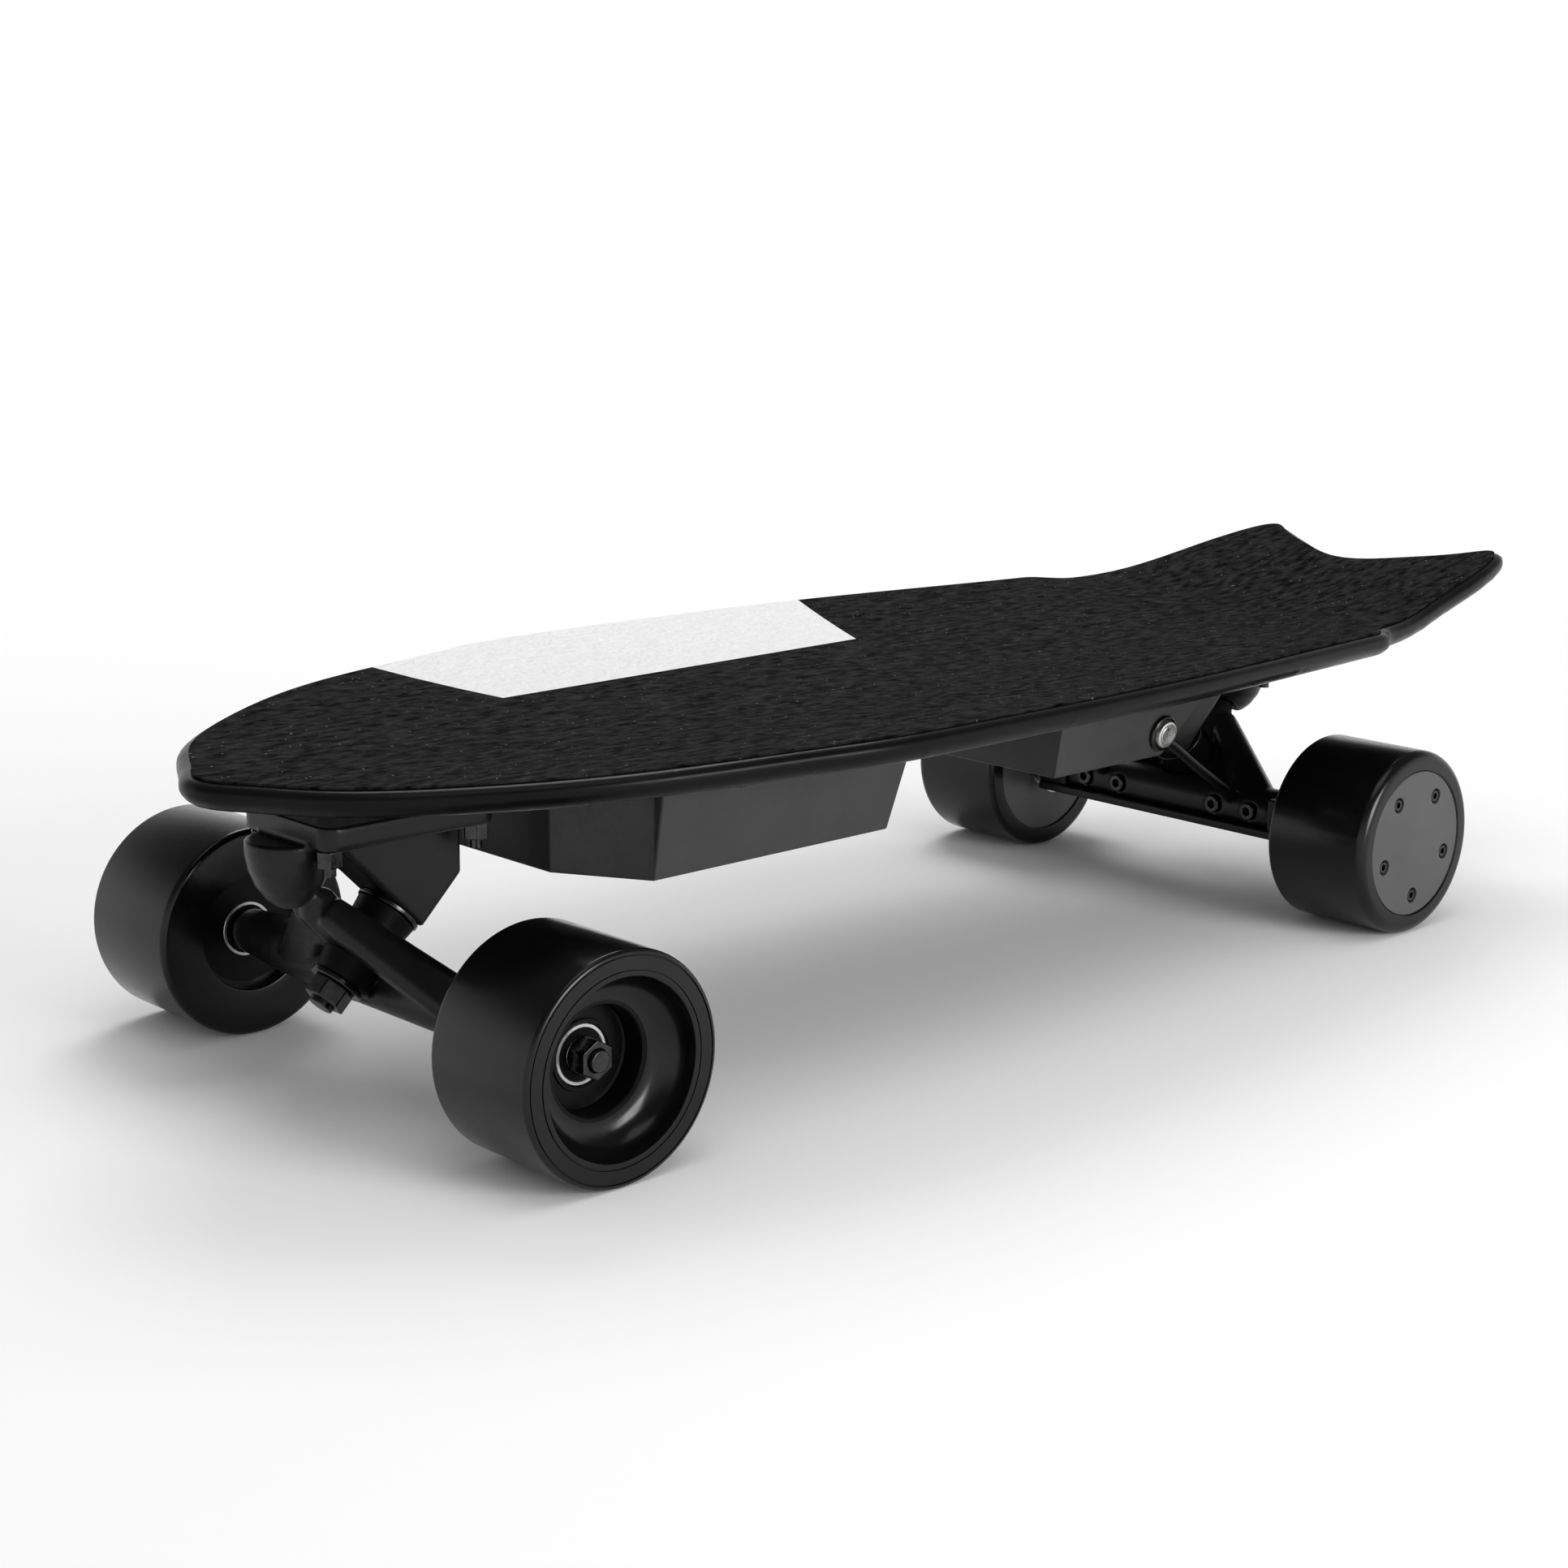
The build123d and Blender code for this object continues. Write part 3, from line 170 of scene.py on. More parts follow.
def make_active(piece):
    """Selects one piece alone."""
    clear_selection()
    piece.select_set(True)
    bpy.context.view_layer.objects.active = piece


def settle(piece, name):
    """Names a finished piece and puts its place into its mesh."""
    make_active(piece)
    bpy.ops.object.transform_apply(location=True, rotation=True, scale=True)
    piece.name = name
    piece.data.name = name
    return piece


def apply_all(piece):
    """Applies every modifier of a piece, in order."""
    make_active(piece)
    for modifier in list(piece.modifiers):
        bpy.ops.object.modifier_apply(modifier=modifier.name)


def edit_all(piece):
    """Opens a piece alone in edit mode, with all of it selected."""
    make_active(piece)
    bpy.ops.object.mode_set(mode="EDIT")
    bpy.ops.mesh.select_all(action="SELECT")


def close_skin():
    """Merges doubled points, turns the faces outwards and leaves edit mode."""
    bpy.ops.mesh.select_all(action="SELECT")
    bpy.ops.mesh.remove_doubles(threshold=fine_weld)
    bpy.ops.mesh.normals_make_consistent(inside=False)
    bpy.ops.object.mode_set(mode="OBJECT")


def soften_edges(piece, width):
    """Rounds the sharp edges of a piece and shades it smooth."""
    bevel = piece.modifiers.new("edge_rounding", "BEVEL")
    bevel.width = width * MM
    bevel.segments = 3
    bevel.limit_method = "ANGLE"
    bevel.angle_limit = math.radians(30)
    bevel.use_clamp_overlap = False
    bevel.harden_normals = False
    apply_all(piece)
    make_active(piece)
    bpy.ops.object.shade_smooth_by_angle(angle=crease_angle)
    flats = piece.modifiers.new("flats", "WEIGHTED_NORMAL")
    flats.weight = 100
    flats.keep_sharp = True
    apply_all(piece)


def copy_of(node, name):
    """A merged copy of a CAD node, free to be shaped."""
    source = frame["nodes"][node]
    piece = source.copy()
    piece.data = source.data.copy()
    piece.parent = None
    piece.matrix_world = Matrix.Identity(4)
    for key in list(piece.keys()):
        del piece[key]
    bpy.context.scene.collection.objects.link(piece)
    piece.data.materials.clear()
    piece.name = name
    piece.data.name = name
    edit_all(piece)
    bpy.ops.mesh.remove_doubles(threshold=cad_weld)
    bpy.ops.object.mode_set(mode="OBJECT")
    return piece


def moulded_copy(node, name, rounding):
    """A copy of a CAD node with its flat faces joined and its edges rounded."""
    piece = copy_of(node, name)
    edit_all(piece)
    bpy.ops.mesh.dissolve_limited(angle_limit=math.radians(1.0))
    bpy.ops.object.mode_set(mode="OBJECT")
    soften_edges(piece, rounding)
    return piece


def cast_copy(node, name, voxel, rounds):
    """A copy of a CAD node with the soft corners of a casting."""
    piece = copy_of(node, name)
    remesh = piece.modifiers.new("skin", "REMESH")
    remesh.mode = "VOXEL"
    remesh.voxel_size = voxel * MM
    remesh.use_smooth_shade = True
    smooth = piece.modifiers.new("fillets", "SMOOTH")
    smooth.factor = 0.5
    smooth.iterations = rounds
    apply_all(piece)
    bpy.ops.object.shade_smooth()
    return piece


def lathe(name, profile, place, direction, solid=False, count=96):
    """Turns (radius, along) points about a line through a place, by extruding a circle.

    A solid is filled at its first and last point; otherwise the points close on themselves.
    """
    clear_selection()
    radius, along = profile[0]
    bpy.ops.mesh.primitive_circle_add(
        vertices=count,
        radius=radius * MM,
        fill_type="NGON" if solid else "NOTHING",
        location=(0, 0, along * MM),
    )
    piece = bpy.context.object
    bpy.ops.object.transform_apply(location=True, rotation=True, scale=True)
    edit_all(piece)
    steps = list(profile[1:]) if solid else list(profile[1:]) + [profile[0]]
    for next_radius, next_along in steps:
        move = (0, 0, (next_along - along) * MM)
        bpy.ops.mesh.extrude_region_move(TRANSFORM_OT_translate={"value": move})
        ratio = next_radius / radius
        bpy.ops.transform.resize(value=(ratio, ratio, 1), center_override=(0, 0, 0))
        radius, along = next_radius, next_along
    close_skin()
    bpy.ops.object.shade_smooth_by_angle(angle=crease_angle)
    turned = Vector(direction).to_track_quat("Z", "Y").to_matrix().to_4x4()
    piece.matrix_world = Matrix.Translation(Vector(place) * MM) @ turned
    return settle(piece, name)


def arc(middle, size, first, last, count):
    """Points on a quarter or other part of an ellipse, as (radius, along); angles in degrees."""
    points = []
    for step in range(count + 1):
        turned = math.radians(first + (last - first) * step / count)
        points.append((middle[0] + size[0] * math.cos(turned), middle[1] + size[1] * math.sin(turned)))
    return points


def rounded(corner, radius, inwards, first, count):
    """Quarter round in place of a corner; inwards gives the signs of the way to its middle."""
    middle = (corner[0] + inwards[0] * radius, corner[1] + inwards[1] * radius)
    return arc(middle, (radius, radius), first, first + 90, count)


def join_as(name, parts):
    """Joins finished parts into one piece."""
    clear_selection()
    for part in parts:
        part.select_set(True)
    bpy.context.view_layer.objects.active = parts[0]
    bpy.ops.object.join()
    piece = bpy.context.object
    piece.name = name
    piece.data.name = name
    return piece


def copy_at(piece, matrix):
    """Another of a finished part, with its own mesh, moved by a matrix."""
    other = piece.copy()
    other.data = piece.data.copy()
    bpy.context.scene.collection.objects.link(other)
    other.matrix_world = matrix
    return settle(other, piece.name)


def socket_screw(head_radius, head_height, socket_width):
    """A cap screw's head at the origin, its top at +Z, with a hexagon socket."""
    shank_radius = head_radius * 0.6
    shank_length = 1.5
    ease = 0.35
    profile = [
        (shank_radius, -head_height - shank_length),
        (shank_radius, -head_height),
        (head_radius, -head_height),
        (head_radius, -ease),
        (head_radius - ease, 0),
    ]
    head = lathe("screw_head", profile, (0, 0, 0), (0, 0, 1), solid=True, count=32)
    clear_selection()
    bpy.ops.mesh.primitive_cylinder_add(
        vertices=6,
        radius=socket_width / math.sqrt(3) * MM,
        depth=head_height * 1.2 * MM,
        location=(0, 0, 0),
    )
    key = bpy.context.object
    cut = head.modifiers.new("socket", "BOOLEAN")
    cut.operation = "DIFFERENCE"
    cut.solver = "EXACT"
    cut.object = key
    apply_all(head)
    bpy.data.objects.remove(key)
    make_active(head)
    bpy.ops.object.shade_smooth_by_angle(angle=crease_angle)
    return head


def screws_at(name, head, places, direction):
    """Copies of one screw head at several places, as one piece."""
    turned = Vector(direction).to_track_quat("Z", "Y").to_matrix().to_4x4()
    parts = [copy_at(head, Matrix.Translation(Vector(place) * MM) @ turned) for place in places]
    return join_as(name, parts)


def cable(name, points, radius):
    """A round cable along a smooth line, its ends closed."""
    clear_selection()
    line = bpy.data.curves.new(name, "CURVE")
    line.dimensions = "3D"
    line.resolution_u = 12
    line.bevel_depth = radius * MM
    line.bevel_resolution = 6
    line.use_fill_caps = True
    spline = line.splines.new("NURBS")
    spline.points.add(len(points) - 1)
    for point, place in zip(spline.points, points):
        point.co = (*(Vector(place) * MM), 1)
    spline.order_u = 3
    spline.use_endpoint_u = True
    piece = bpy.data.objects.new(name, line)
    bpy.context.scene.collection.objects.link(piece)
    make_active(piece)
    bpy.ops.object.convert(target="MESH")
    piece = bpy.context.object
    edit_all(piece)
    close_skin()
    bpy.ops.object.shade_smooth_by_angle(angle=long_curve_crease_angle)
    return settle(piece, name)


# ---------------------------------------------------------------- finishes
class Finish:
    """One procedural material and the few nodes that every finish here is made from."""

    def __init__(self, name, colour, roughness, metallic=0.0, specular=0.5):
        self.material = bpy.data.materials.new(name)
        self.material.use_nodes = True
        self.nodes = self.material.node_tree.nodes
        self.links = self.material.node_tree.links
        self.shader = self.nodes["Principled BSDF"]
        self.shader.inputs["Base Color"].default_value = (*colour, 1)
        self.shader.inputs["Roughness"].default_value = roughness
        self.shader.inputs["Metallic"].default_value = metallic
        self.shader.inputs["Specular IOR Level"].default_value = specular
        self.place = self.nodes.new("ShaderNodeTexCoord")

    def grain(self, scale, detail=3.0, stretch=(1, 1, 1)):
        """Noise with about scale grains to the metre."""
        mapping = self.nodes.new("ShaderNodeMapping")
        mapping.inputs["Scale"].default_value = stretch
        self.links.new(self.place.outputs["Object"], mapping.inputs["Vector"])
        noise = self.nodes.new("ShaderNodeTexNoise")
        noise.inputs["Scale"].default_value = scale
        noise.inputs["Detail"].default_value = detail
        self.links.new(mapping.outputs["Vector"], noise.inputs["Vector"])
        return noise.outputs["Fac"]

    def cells(self, scale):
        """Random cells with about scale cells to the metre; gives their random shade."""
        voronoi = self.nodes.new("ShaderNodeTexVoronoi")
        voronoi.inputs["Scale"].default_value = scale
        self.links.new(self.place.outputs["Object"], voronoi.inputs["Vector"])
        split = self.nodes.new("ShaderNodeSeparateColor")
        self.links.new(voronoi.outputs["Color"], split.inputs["Color"])
        return split.outputs["Red"]

    def steps(self, source, *stops):
        """Colour ramp over a source; each stop is a place and a colour or a grey."""
        ramp = self.nodes.new("ShaderNodeValToRGB")
        elements = ramp.color_ramp.elements
        for index, (place, shade) in enumerate(stops):
            element = elements[index] if index < 2 else elements.new(place)
            element.position = place
            if isinstance(shade, (int, float)):
                shade = (shade, shade, shade)
            element.color = (*shade, 1)
        self.links.new(source, ramp.inputs["Fac"])
        return ramp.outputs["Color"]

    def colour(self, output):
        """Sends an output to the base colour."""
        self.links.new(output, self.shader.inputs["Base Color"])

    def roughness(self, output):
        """Sends an output to the roughness."""
        self.links.new(output, self.shader.inputs["Roughness"])

    def relief(self, source, strength, height):
        """Bump of a height in mm."""
        bump = self.nodes.new("ShaderNodeBump")
        bump.inputs["Strength"].default_value = strength
        bump.inputs["Distance"].default_value = height * MM
        self.links.new(source, bump.inputs["Height"])
        self.links.new(bump.outputs["Normal"], self.shader.inputs["Normal"])


def grit(name, dark, light, glint, glint_share):
    """Sanded tape: coarse clumps of grit, drawn out a little lengthwise, and a few grains painted bright as
    glints, standing in for the grit's sparkle.
    """
    finish = Finish(name, dark, 0.8, specular=0.02)
    clumps = finish.steps(finish.grain(300, 4.0, (0.4, 1, 1)), (0.34, dark), (0.66, light))
    # painted glints: rare cells lifted to the glint colour stand in for light sparkling off the grains, as
    # the tape itself has almost no shine
    painted_sparkle = finish.steps(finish.cells(1500), (1 - glint_share, (0, 0, 0)), (1 - glint_share * 0.7, glint))
    total = finish.nodes.new("ShaderNodeMix")
    total.data_type = "RGBA"
    total.blend_type = "LIGHTEN"
    total.inputs["Factor"].default_value = 1.0
    finish.links.new(clumps, total.inputs["A"])
    finish.links.new(painted_sparkle, total.inputs["B"])
    finish.colour(total.outputs["Result"])
    finish.roughness(finish.steps(finish.grain(260), (0.35, 0.95), (0.65, 0.7)))
    finish.relief(finish.grain(330, 5.0), 1.0, 1.2)
    return finish.material


def cast_metal():
    """Satin black casting with a fine sanded skin."""
    finish = Finish("cast_black", (0.006, 0.006, 0.006), 0.32, specular=0.24)
    finish.colour(finish.steps(finish.grain(60), (0.3, 0.005), (0.7, 0.008)))
    finish.roughness(finish.steps(finish.grain(420), (0.3, 0.28), (0.7, 0.4)))
    finish.relief(finish.grain(1400, 2.0), 0.15, 0.15)
    return finish.material


def bright_metal():
    """Zinc-plated steel."""
    finish = Finish("bright_steel", (0.62, 0.62, 0.60), 0.25, metallic=1.0)
    finish.colour(finish.steps(finish.grain(90), (0.3, (0.50, 0.50, 0.49)), (0.7, (0.66, 0.66, 0.64))))
    finish.roughness(finish.steps(finish.grain(700), (0.3, 0.26), (0.7, 0.4)))
    return finish.material


def black_oxide():
    """Blackened steel of screws, nuts and axles."""
    finish = Finish("black_steel", (0.05, 0.05, 0.052), 0.24, metallic=1.0)
    finish.roughness(finish.steps(finish.grain(800), (0.3, 0.18), (0.7, 0.3)))
    finish.colour(finish.steps(finish.grain(300), (0.3, 0.035), (0.7, 0.065)))
    return finish.material


def urethane(name, low, high, rough_low, rough_high, shine=0.2):
    """Cast urethane or rubber with a faint skin."""
    finish = Finish(name, (low, low, low), rough_low, specular=shine)
    finish.colour(finish.steps(finish.grain(40), (0.3, low), (0.7, high)))
    finish.roughness(finish.steps(finish.grain(350), (0.3, rough_low), (0.7, rough_high)))
    finish.relief(finish.grain(900, 2.0), 0.06, 0.08)
    return finish.material


def painted(name, low, high, rough_low, rough_high, shine=0.2):
    """Black paint with slight unevenness."""
    finish = Finish(name, (low, low, low), rough_low, specular=shine)
    finish.colour(finish.steps(finish.grain(25), (0.3, low), (0.7, high)))
    finish.roughness(finish.steps(finish.grain(120), (0.3, rough_low), (0.7, rough_high)))
    finish.relief(finish.grain(250, 2.0), 0.05, 0.12)
    return finish.material


def moulded_plastic():
    """Black plastic with a fine spark texture."""
    finish = Finish("case_black", (0.030, 0.030, 0.030), 0.4, specular=0.4)
    finish.colour(finish.steps(finish.grain(70), (0.3, 0.026), (0.7, 0.034)))
    finish.roughness(finish.steps(finish.grain(600), (0.3, 0.34), (0.7, 0.48)))
    finish.relief(finish.grain(2200, 2.0), 0.15, 0.12)
    return finish.material


def plain_variation(name, colour, roughness, metallic=0.0):
    """A simple finish with a little variation, for pieces that are mostly hidden."""
    finish = Finish(name, colour, roughness, metallic)
    colour_swing = 0.12
    darker = tuple(channel * (1 - colour_swing) for channel in colour)
    lighter = tuple(min(1.0, channel * (1 + colour_swing)) for channel in colour)
    finish.colour(finish.steps(finish.grain(150), (0.3, darker), (0.7, lighter)))
    smoother = roughness * 0.85
    rougher = min(1.0, roughness * 1.15)
    finish.roughness(finish.steps(finish.grain(500), (0.3, smoother), (0.7, rougher)))
    return finish.material


finishes = {
    "deck_black": painted("deck_black", 0.003, 0.005, 0.26, 0.34, 0.1),
    "grip_black": grit(
        "grip_black",
        dark=(0.001, 0.001, 0.001),
        light=(0.024, 0.024, 0.024),
        glint=(0.22, 0.22, 0.22),
        glint_share=0.002,
    ),
    "panel_white": grit(
        "panel_white",
        dark=(0.76, 0.76, 0.76),
        light=(0.81, 0.81, 0.805),
        glint=(0.84, 0.84, 0.84),
        glint_share=0.08,
    ),
    "cast_black": cast_metal(),
    "bright_steel": bright_metal(),
    "black_steel": black_oxide(),
    "bushing_black": urethane("bushing_black", 0.002, 0.004, 0.4, 0.5, 0.08),
    "riser_black": urethane("riser_black", 0.004, 0.006, 0.5, 0.65, 0.12),
    "tyre_black": urethane("tyre_black", 0.002, 0.004, 0.17, 0.24, 0.3),
    "core_black": urethane("core_black", 0.002, 0.004, 0.3, 0.4, 0.12),
    "motor_black": painted("motor_black", 0.048, 0.060, 0.34, 0.44, 0.4),
    "case_black": moulded_plastic(),
    "cell_wrap": plain_variation("cell_wrap", (0.05, 0.16, 0.38), 0.35),
    "board_green": plain_variation("board_green", (0.02, 0.12, 0.06), 0.45),
    "cable_black": urethane("cable_black", 0.002, 0.004, 0.4, 0.5, 0.1),
    "copper_winding": plain_variation("copper_winding", (0.55, 0.24, 0.09), 0.35, metallic=1.0),
    "port_black": plain_variation("port_black", (0.010, 0.010, 0.010), 0.25),
}

slot_of = {entry["node"]: entry["material_slot"] for entry in frame["record"]["subparts"]}
body_of = {
    node: body
    for body, members in frame["record"]["behaviour"]["bodies"].items()
    for node in members
}
for node, piece in frame["nodes"].items():
    piece.data.materials.clear()
    piece.data.materials.append(finishes[slot_of[node]])
    for polygon in piece.data.polygons:
        polygon.material_index = 0


def stand_for(piece, *nodes):
    """Dresses a piece as the nodes it stands for, and lets it ride with them."""
    slot = slot_of[nodes[0]]
    piece.data.materials.clear()
    piece.data.materials.append(finishes[slot])
    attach(piece, body_of[nodes[0]])
    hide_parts(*nodes)


def dress(piece, slot, body=None):
    """Gives a piece its finish, and its body if it rides on one."""
    piece.data.materials.clear()
    piece.data.materials.append(finishes[slot])
    if body:
        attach(piece, body)


# ---------------------------------------------------------------- wheels
def front_wheel_pieces(side_name, side):
    """Tyre, core, bearing races and seals of one front wheel."""
    place = (front_axle_x, 0, wheel_radius)
    axle = (0, side, 0)
    tread = [
        (core_radius, front_bearing_y[0]),
        (inner_recess_radius, front_bearing_y[0]),
        *rounded((inner_recess_radius, front_inner_y), 1, (1, 1), 180, 3),
        *rounded((wheel_radius, front_inner_y), inner_edge, (-1, 1), 270, 6),
        *rounded((wheel_radius, front_outer_y), front_outer_edge, (-1, -1), 0, 6),
    ]
    for groove in groove_radii:
        tread += [
            (groove + groove_half_width, front_outer_y - groove_lip),
            (groove + groove_floor_half_width, front_outer_y - groove_depth),
            (groove - groove_floor_half_width, front_outer_y - groove_depth),
            (groove - groove_half_width, front_outer_y - groove_lip),
        ]
    recess_size = (tyre_recess_radius - core_radius, tyre_recess_depth - recess_lip)
    tread += [
        *arc((tyre_recess_radius + 0.6, front_outer_y - recess_lip), (0.6, 0.6), 90, 180, 3),
        *arc((core_radius, front_outer_y - recess_lip), recess_size, -6, -84, 12),
        (core_radius, front_outer_y - tyre_recess_depth),
    ]
    tyre = lathe(f"front_{side_name}_tyre_skin", tread, place, axle)
    stand_for(tyre, f"front_{side_name}_tyre")

    far = front_bearing_y[1] + bearing_width
    hub = [
        (bearing_radius, front_bearing_y[0]),
        (core_radius, front_bearing_y[0]),
        (core_radius, front_outer_y - tyre_recess_depth),
        (core_well_radius + 0.5, front_outer_y - tyre_recess_depth),
        (core_well_radius, front_outer_y - tyre_recess_depth - 0.5),
        (core_well_radius - 0.6, far + 0.6),
        (core_well_radius - 1.4, far),
        (bearing_radius + 1.9, far),
        (bearing_radius + 1.6, far + 0.7),
        (bearing_radius + 0.5, far + 0.7),
        (bearing_radius + 0.2, far),
        (bearing_radius, far - bearing_width),
        (bearing_radius - 1.5, far - bearing_width),
        (bearing_radius - 1.5, front_bearing_y[0] + bearing_width),
        (bearing_radius, front_bearing_y[0] + bearing_width),
    ]
    core = lathe(f"front_{side_name}_core_skin", hub, place, axle)
    stand_for(core, f"front_{side_name}_core")

    races = []
    seals = []
    for start in front_bearing_y:
        races.append(bearing_race(outer_race_bore, bearing_radius, start, place, axle))
        races.append(bearing_race(*inner_race, start, place, axle))
        seal = [
            (inner_race[1], start + race_ease),
            (outer_race_bore, start + race_ease),
            (outer_race_bore, start + bearing_width - race_ease),
            (inner_race[1], start + bearing_width - race_ease),
        ]
        seals.append(lathe("seal", seal, place, axle, count=64))
    stand_for(join_as(f"front_{side_name}_bearing_rings", races), f"front_{side_name}_bearings")
    dress(join_as(f"front_{side_name}_bearing_seals", seals), "bushing_black", f"front_{side_name}_wheel")


def bearing_race(inner, outer, start, place, axle):
    """One race of a ball bearing with eased corners."""
    end = start + bearing_width
    profile = [
        (inner, start + race_ease),
        (inner + race_ease, start),
        (outer - race_ease, start),
        (outer, start + race_ease),
        (outer, end - race_ease),
        (outer - race_ease, end),
        (inner + race_ease, end),
        (inner, end - race_ease),
    ]
    return lathe("race", profile, place, axle, count=64)


def rear_wheel_pieces(side_name, side, head):
    """Tyre sleeve, cover disc and cover screws of one rear wheel."""
    place = (rear_axle_x, 0, wheel_radius)
    axle = (0, side, 0)
    bore = motor_radius + fit_gap
    sleeve = [
        (bore, rear_inner_y + 0.4),
        (bore + 0.4, rear_inner_y),
        *rounded((wheel_radius, rear_inner_y), inner_edge, (-1, 1), 270, 6),
        *rounded((wheel_radius, rear_outer_y), rear_shoulder, (-1, -1), 0, 12),
        (bore + 0.6, rear_outer_y),
        (bore, rear_outer_y - 0.6),
    ]
    tyre = lathe(f"rear_{side_name}_tyre_skin", sleeve, place, axle)
    stand_for(tyre, f"rear_{side_name}_tyre")
    cover = moulded_copy(f"rear_{side_name}_cover", f"rear_{side_name}_cover_disc", 0.35)
    stand_for(cover, f"rear_{side_name}_cover")
    places = []
    for index in range(cover_screw_count):
        turned = math.radians(-90 + 360 / cover_screw_count * index)
        x = rear_axle_x - cover_screw_circle * math.cos(turned)
        z = wheel_radius + cover_screw_circle * math.sin(turned)
        places.append((x, side * (cover_face_y - cover_screw_sink), z))
    heads = screws_at(f"rear_{side_name}_cover_heads", head, places, axle)
    stand_for(heads, f"rear_{side_name}_cover_screws")


def build_wheels():
    """All four wheels."""
    head = socket_screw(*cover_screw)
    for side_name, side in (("left", 1), ("right", -1)):
        front_wheel_pieces(side_name, side)
        rear_wheel_pieces(side_name, side, head)
    bpy.data.objects.remove(head)


# ---------------------------------------------------------------- trucks
def build_trucks():
    """Castings, rubber and fasteners of both trucks."""
    for truck in ("front", "rear"):
        hanger = cast_copy(f"{truck}_hanger", f"{truck}_hanger_casting", voxel=1.1, rounds=5)
        stand_for(hanger, f"{truck}_hanger")
        plate = cast_copy(f"{truck}_baseplate", f"{truck}_baseplate_casting", voxel=0.85, rounds=2)
        stand_for(plate, f"{truck}_baseplate")
        for part, rounding in (
            ("riser", 0.8),
            ("upper_bushing", 0.7),
            ("lower_bushing", 0.7),
            ("cup_washers", 0.45),
            ("kingpin_nut", 0.6),
            ("kingpin", 0.5),
        ):
            shape = moulded_copy(f"{truck}_{part}", f"{truck}_{part}_shape", rounding)
            stand_for(shape, f"{truck}_{part}")
    for part, rounding in (
        ("front_axle_nuts", 0.6),
        ("front_axle", 0.6),
        ("mounting_nuts", 0.5),
        ("rear_motor_bar", 1.0),
    ):
        stand_for(moulded_copy(part, f"{part}_shape", rounding), part)
    head = socket_screw(*bar_screw)
    heads_x = rear_axle_x + bar_screw_reach
    places = [(heads_x, y, wheel_radius + bar_screw_up) for y in bar_screw_places]
    stand_for(screws_at("rear_bar_screw_heads", head, places, (1, 0, 0)), "rear_bar_screws")
    bpy.data.objects.remove(head)


# ---------------------------------------------------------------- deck and cases
def clear_of_holes(place):
    """Whether a plan point lies away from every bolt and screw hole in the deck."""
    holes = [(x, y) for x in mounting_bolt_xs for y in (-mounting_bolt_y, mounting_bolt_y)]
    holes += flange_screw_places + post_screw_places
    return all((place - Vector(hole)).length > hole_reach for hole in holes)


def deck_outline():
    """Evenly spaced plan points round the deck, read from the upright wall of its CAD node.

    The outermost point of the wall is taken in each half degree about the deck's middle.
    """
    wall = copy_of("deck", "deck_wall")
    outermost = {}
    for face in wall.data.polygons:
        if abs(face.normal.z) > wall_slope:
            continue
        for index in face.vertices:
            place = Vector(wall.data.vertices[index].co[:2]) / MM
            if not clear_of_holes(place):
                continue
            turned = round(2 * math.degrees(math.atan2(place.y, place.x)))
            if turned not in outermost or place.length > outermost[turned].length:
                outermost[turned] = place
    bpy.data.objects.remove(wall)
    corners = [outermost[turned] for turned in sorted(outermost)]
    corners.append(corners[0])
    lengths = [0.0]
    for before, after in zip(corners, corners[1:]):
        lengths.append(lengths[-1] + (after - before).length)
    count = int(lengths[-1] / outline_spacing)
    points = []
    index = 0
    for step in range(count):
        reach = lengths[-1] * step / count
        while lengths[index + 1] < reach:
            index += 1
        share = (reach - lengths[index]) / (lengths[index + 1] - lengths[index])
        points.append(corners[index].lerp(corners[index + 1], share))
    return points


def on_board(x, y, level):
    """Height of a level of the flat sheet once it has the board's concave and kick."""
    base = deck_bottom_z + level
    raised = concave_centre_z - math.sqrt((concave_centre_z - base) ** 2 - y**2) - deck_bottom_z
    radius = kick_bend_radius - raised
    back = kick_start_x - x
    if back <= 0:
        return deck_bottom_z + raised
    if back <= radius * math.sin(kick_angle):
        return deck_bottom_z + kick_bend_radius - math.sqrt(radius**2 - back**2)
    past = back - radius * math.sin(kick_angle)
    return deck_bottom_z + kick_bend_radius - radius * math.cos(kick_angle) + past * math.tan(kick_angle)


